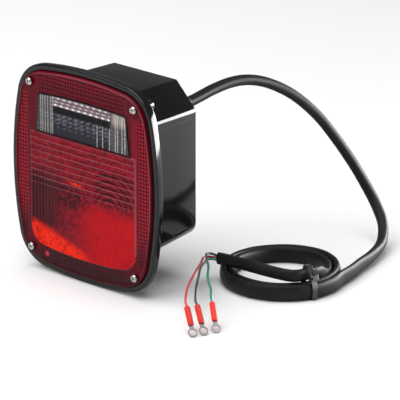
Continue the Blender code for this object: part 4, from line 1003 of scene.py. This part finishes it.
# Back-up window. A clear pane let into the lens, ribbed at both ends and set with rows of small
# prisms, so that the dark inside of the box shows through it only in pieces.
WINDOW_COLUMNS, WINDOW_ROWS = 300, 100
WINDOW_DEPTH = 3.2
WINDOW_GAP = 0.3
RIB_WIDTH = 0.62
LEFT_RIBS = (-46.6, -44.4, -41.6, -38.6, -35.2, -33.2)
RIGHT_RIBS = (17.3, 23.5, 31.0, 37.7, 40.2, 45.2, 48.4)


def rib_lines(x, places, width):
    """1 on each of a row of upright lines and 0 between them."""
    gaps = np.abs(x[..., None] - np.array(places))
    return (1 - eased(gaps, width * 0.5, width)).max(-1)


PANE_DARK, PANE_CELL = (0.022, 0.021, 0.030), (0.085, 0.080, 0.100)
PANE_DASH_HIGHLIGHT = (0.24, 0.23, 0.27)
PANE_END, PANE_CREAM, PANE_BAR = (0.10, 0.095, 0.095), (0.42, 0.37, 0.30), (0.006, 0.006, 0.008)
PANE_SPARKLE, PANE_GLARE = (0.19, 0.115, 0.135), (0.95, 0.90, 0.92)
PANE_EDGE_SHADE = (0.035, 0.020, 0.022)
LEFT_RIB_HIGHLIGHT, RIGHT_RIB_HIGHLIGHT = (0.62, 0.60, 0.60), (0.74, 0.70, 0.68)
DASH_PITCH = 6.7
# Rows of dashes, painted highlights on the prisms: height and strength in the lower part, height,
# slip and strength in the upper one
LOWER_ROWS = ((48.8, 0.55), (45.4, 0.5), (42.2, 0.4), (38.6, 0.2))
UPPER_ROWS = ((63.3, 0.0, 0.75), (60.2, 2.2, 0.45), (57.3, 3.4, 1.0))


def window_tones(x, z):
    """The pane's colour: grey ends with painted highlights on their ribs, prism rows with painted
    highlights over a black bar, dark below, and painted shade round its edge.
    """
    cells = eased(hashed(x, z, 1.7, 2.0), 0.35, 0.9) * (1 - eased(-z, -46.0, -36.0))
    tone = mixed(filled(x, PANE_DARK), PANE_CELL, cells * 0.8)
    # Painted highlights: the lower prism rows catch light in slanting dashes.
    for height, strength in LOWER_ROWS:
        dash = eased(wave(x - 0.9 * (z - height), DASH_PITCH), -0.2, 0.7)
        row = (1 - eased(np.abs(z - height), 0.4, 1.1)) * dash
        tone = mixed(tone, PANE_DASH_HIGHLIGHT, row * strength)
    ends = np.maximum(1 - eased(x, -33.4, -32.2), eased(x, 31.2, 32.4))
    speckle = eased(hashed(x, z, 1.5, 7.0), 0.3, 0.9)
    tone = mixed(tone, PANE_END, ends * (0.45 + 0.45 * speckle))
    tone = mixed(tone, PANE_CREAM, eased(x, 31.0, 36.0) * eased(z, 50.0, 58.0) * 0.7)
    bar = (1 - ends) * eased(z, 50.2, 50.8) * (1 - eased(z, 55.6, 56.2))
    tone = mixed(tone, PANE_BAR, bar)
    sparkle = (1 - ends) * eased(z, 55.8, 56.4)
    tone = mixed(tone, PANE_SPARKLE, sparkle * (0.5 + 0.5 * hashed(x, z, 1.3, 6.0)))
    for height, slip, glare in UPPER_ROWS:
        dash = eased(wave(x + slip, DASH_PITCH), -0.1, 0.6)
        row = (1 - eased(np.abs(z - height), 0.4, 1.0)) * (0.25 + 0.75 * dash)
        tone = mixed(tone, PANE_GLARE, row * sparkle * glare)
    # Painted highlights: pale lines on the ribs at both ends of the pane.
    ribs = rib_lines(x, LEFT_RIBS, RIB_WIDTH) * (0.25 + 0.35 * hashed(x * 0, z, 1.4, 4.0))
    tone = mixed(tone, LEFT_RIB_HIGHLIGHT, ribs)
    ribs = rib_lines(x, RIGHT_RIBS, RIB_WIDTH) * (0.22 + 0.5 * hashed(x, z, 1.4, 4.0))
    low = np.where(x < 33.0, 1 - eased(z, 49.0, 51.0), 1.0)
    tone = mixed(tone, RIGHT_RIB_HIGHLIGHT, ribs * low)
    # Painted shade: dark along the pane's edge, in the groove round it.
    return mixed(tone, PANE_EDGE_SHADE, (1 - eased(in_window(x, z), 0.3, 1.0)) * 0.8)


u = np.linspace(-1.0, 1.0, WINDOW_COLUMNS)[None, :] * np.ones((WINDOW_ROWS, 1))
v = np.linspace(0.0, 1.0, WINDOW_ROWS)[:, None] * np.ones((1, WINDOW_COLUMNS))
pane_height = WINDOW_HIGH - WINDOW_LOW - 2 * WINDOW_GAP + WINDOW_BOW * (1 - u**2)
pane_z = WINDOW_LOW + WINDOW_GAP + v * pane_height
pane_x = u * (window_half(pane_z) - WINDOW_GAP)
pane_ribs = rib_lines(pane_x, (*LEFT_RIBS, *RIGHT_RIBS), 1.6) * 0.35
pane_cells = 0.12 * (wave(pane_x, 3.3) * wave(pane_z, 3.1) - 1.0)
pane_relief = (pane_ribs + pane_cells - 0.4) * eased(in_window(pane_x, pane_z), 0.5, 1.2)
front = np.stack([pane_x, LENS_FACE + 0.1 - pane_relief, pane_z - BEZEL_DROP], -1)
flat_border = front.reshape(-1, 3)[grid_border(WINDOW_ROWS, WINDOW_COLUMNS)]
points, faces = slab(front, [flat_border + (0.0, WINDOW_DEPTH, 0.0)])
tones = window_tones(pane_x, pane_z).reshape(-1, 3)
edge_tone = np.tile((0.03, 0.028, 0.032), (len(points) - len(tones), 1))
make_piece(
    "window_pane",
    points * MM,
    faces,
    toned("clear_acrylic", 0.10),
    "lens_group",
    ("backup_window",),
    60.0,
    np.concatenate([tones, edge_tone]),
)


# Fixings and inner works. Plated steel, brass, phenolic board, white paint and rubber on the CAD
# solids, which already have their real shapes.
stainless = grained(
    "screw_stainless", (0.46, 0.45, 0.43), 0.22, metallic=1.0, grain=1500.0, depth=0.05
)
zinc = grained(
    "zinc_plate", (0.32, 0.32, 0.33), 0.36, metallic=1.0, grain=1100.0, depth=0.10, mottle=0.2
)
brass = grained("bulb_brass", (0.60, 0.44, 0.19), 0.28, metallic=1.0, grain=1300.0, depth=0.05)
white = grained("reflector_white", (0.80, 0.80, 0.78), 0.32, grain=300.0, depth=0.03, mottle=0.04)
phenolic = grained(
    "phenolic_board", (0.19, 0.085, 0.035), 0.5, grain=1800.0, depth=0.15, mottle=0.25
)
rubber = grained("grommet_rubber", (0.014, 0.014, 0.015), 0.6, grain=1000.0, depth=0.15)
bulb_glass = grained("bulb_glass", (0.93, 0.95, 0.95), 0.04, grain=200.0, depth=0.01, mottle=0.02)
bulb_glass.node_tree.nodes["Principled BSDF"].inputs["Transmission Weight"].default_value = 0.95
inner_pvc = {
    "stop_wire": grained("inner_red", CORE_COLOURS["red"], 0.35),
    "backup_wire": grained("inner_green", CORE_COLOURS["green"], 0.35),
}
inner_black = grained("inner_black", CORE_COLOURS["black"], 0.35)
starts = {
    "lens_screw": stainless,
    "reflector_screw": zinc,
    "mount_": zinc,
    "lock_washer": zinc,
    "reflector": white,
    "divider": white,
    "cable_grommet": rubber,
    "cable_stop_tie": nylon,
    "lens_gasket": rubber,
}
ends = {
    "_socket": zinc,
    "_contact_disc": phenolic,
    "_contact_left": brass,
    "_contact_right": brass,
    "_contact_centre": brass,
    "_spring": stainless,
    "_bulb_base": brass,
    "_bulb_glass": bulb_glass,
    "_bulb_mount": zinc,
    "_wire": inner_black,
}
for name, thing in cad.items():
    finish = next((look for key, look in starts.items() if name.startswith(key)), None)
    finish = finish or next((look for key, look in ends.items() if name.endswith(key)), None)
    finish = inner_pvc.get(name, finish)
    if finish:
        thing.data.materials[0] = finish


# Floor and light. A pale floor level with the bezel's lower edge, and soft lights: a broad one
# above, a weak one in front, and one behind on the right that only shows mirrored in the rim and
# the box's side.
FLOOR_HALF = 12.0
floor_corners = [(-1, -1), (1, -1), (1, 1), (-1, 1)]
floor_points = [(x * FLOOR_HALF, y * FLOOR_HALF, FLOOR_Z) for x, y in floor_corners]
floor_mesh = bpy.data.meshes.new("floor")
floor_mesh.from_pydata(floor_points, [], [(0, 1, 2, 3)])
floor = bpy.data.objects.new("floor", floor_mesh)
bpy.context.scene.collection.objects.link(floor)
pale = grained("floor_pale", (0.90, 0.90, 0.90), 0.9, grain=8.0, depth=0.0, mottle=0.01)
floor_mesh.materials.append(pale)


def soft_light(name, place, target, size, power):
    """A rectangular area light turned to face a point."""
    data = bpy.data.lights.new(name, "AREA")
    data.shape = "RECTANGLE"
    data.size, data.size_y = size
    data.energy = power
    light = bpy.data.objects.new(name, data)
    bpy.context.scene.collection.objects.link(light)
    light.location = place
    aim = Vector(target) - Vector(place)
    light.rotation_euler = aim.to_track_quat("-Z", "Y").to_euler()
    return light


soft_light("overhead", (-0.2, -0.5, 2.2), (0.05, 0.0, 0.0), (3.0, 3.0), 84.0)
soft_light("front_fill", (-0.6, -2.4, 1.1), (0.0, 0.0, 0.0), (1.6, 1.0), 17.0)
panel_place = (0.52, 0.58, FLOOR_Z + 0.18)
panel = soft_light("right_back", panel_place, (0.05, -0.03, 0.08), (1.10, 0.34), 32.0)
panel.visible_diffuse = False
world = bpy.data.worlds.new("studio")
world.use_nodes = True
world.node_tree.nodes["Background"].inputs["Color"].default_value = (0.95, 0.97, 1.0, 1.0)
world.node_tree.nodes["Background"].inputs["Strength"].default_value = 0.16
bpy.context.scene.world = world
bpy.context.scene.view_settings.view_transform = "Standard"
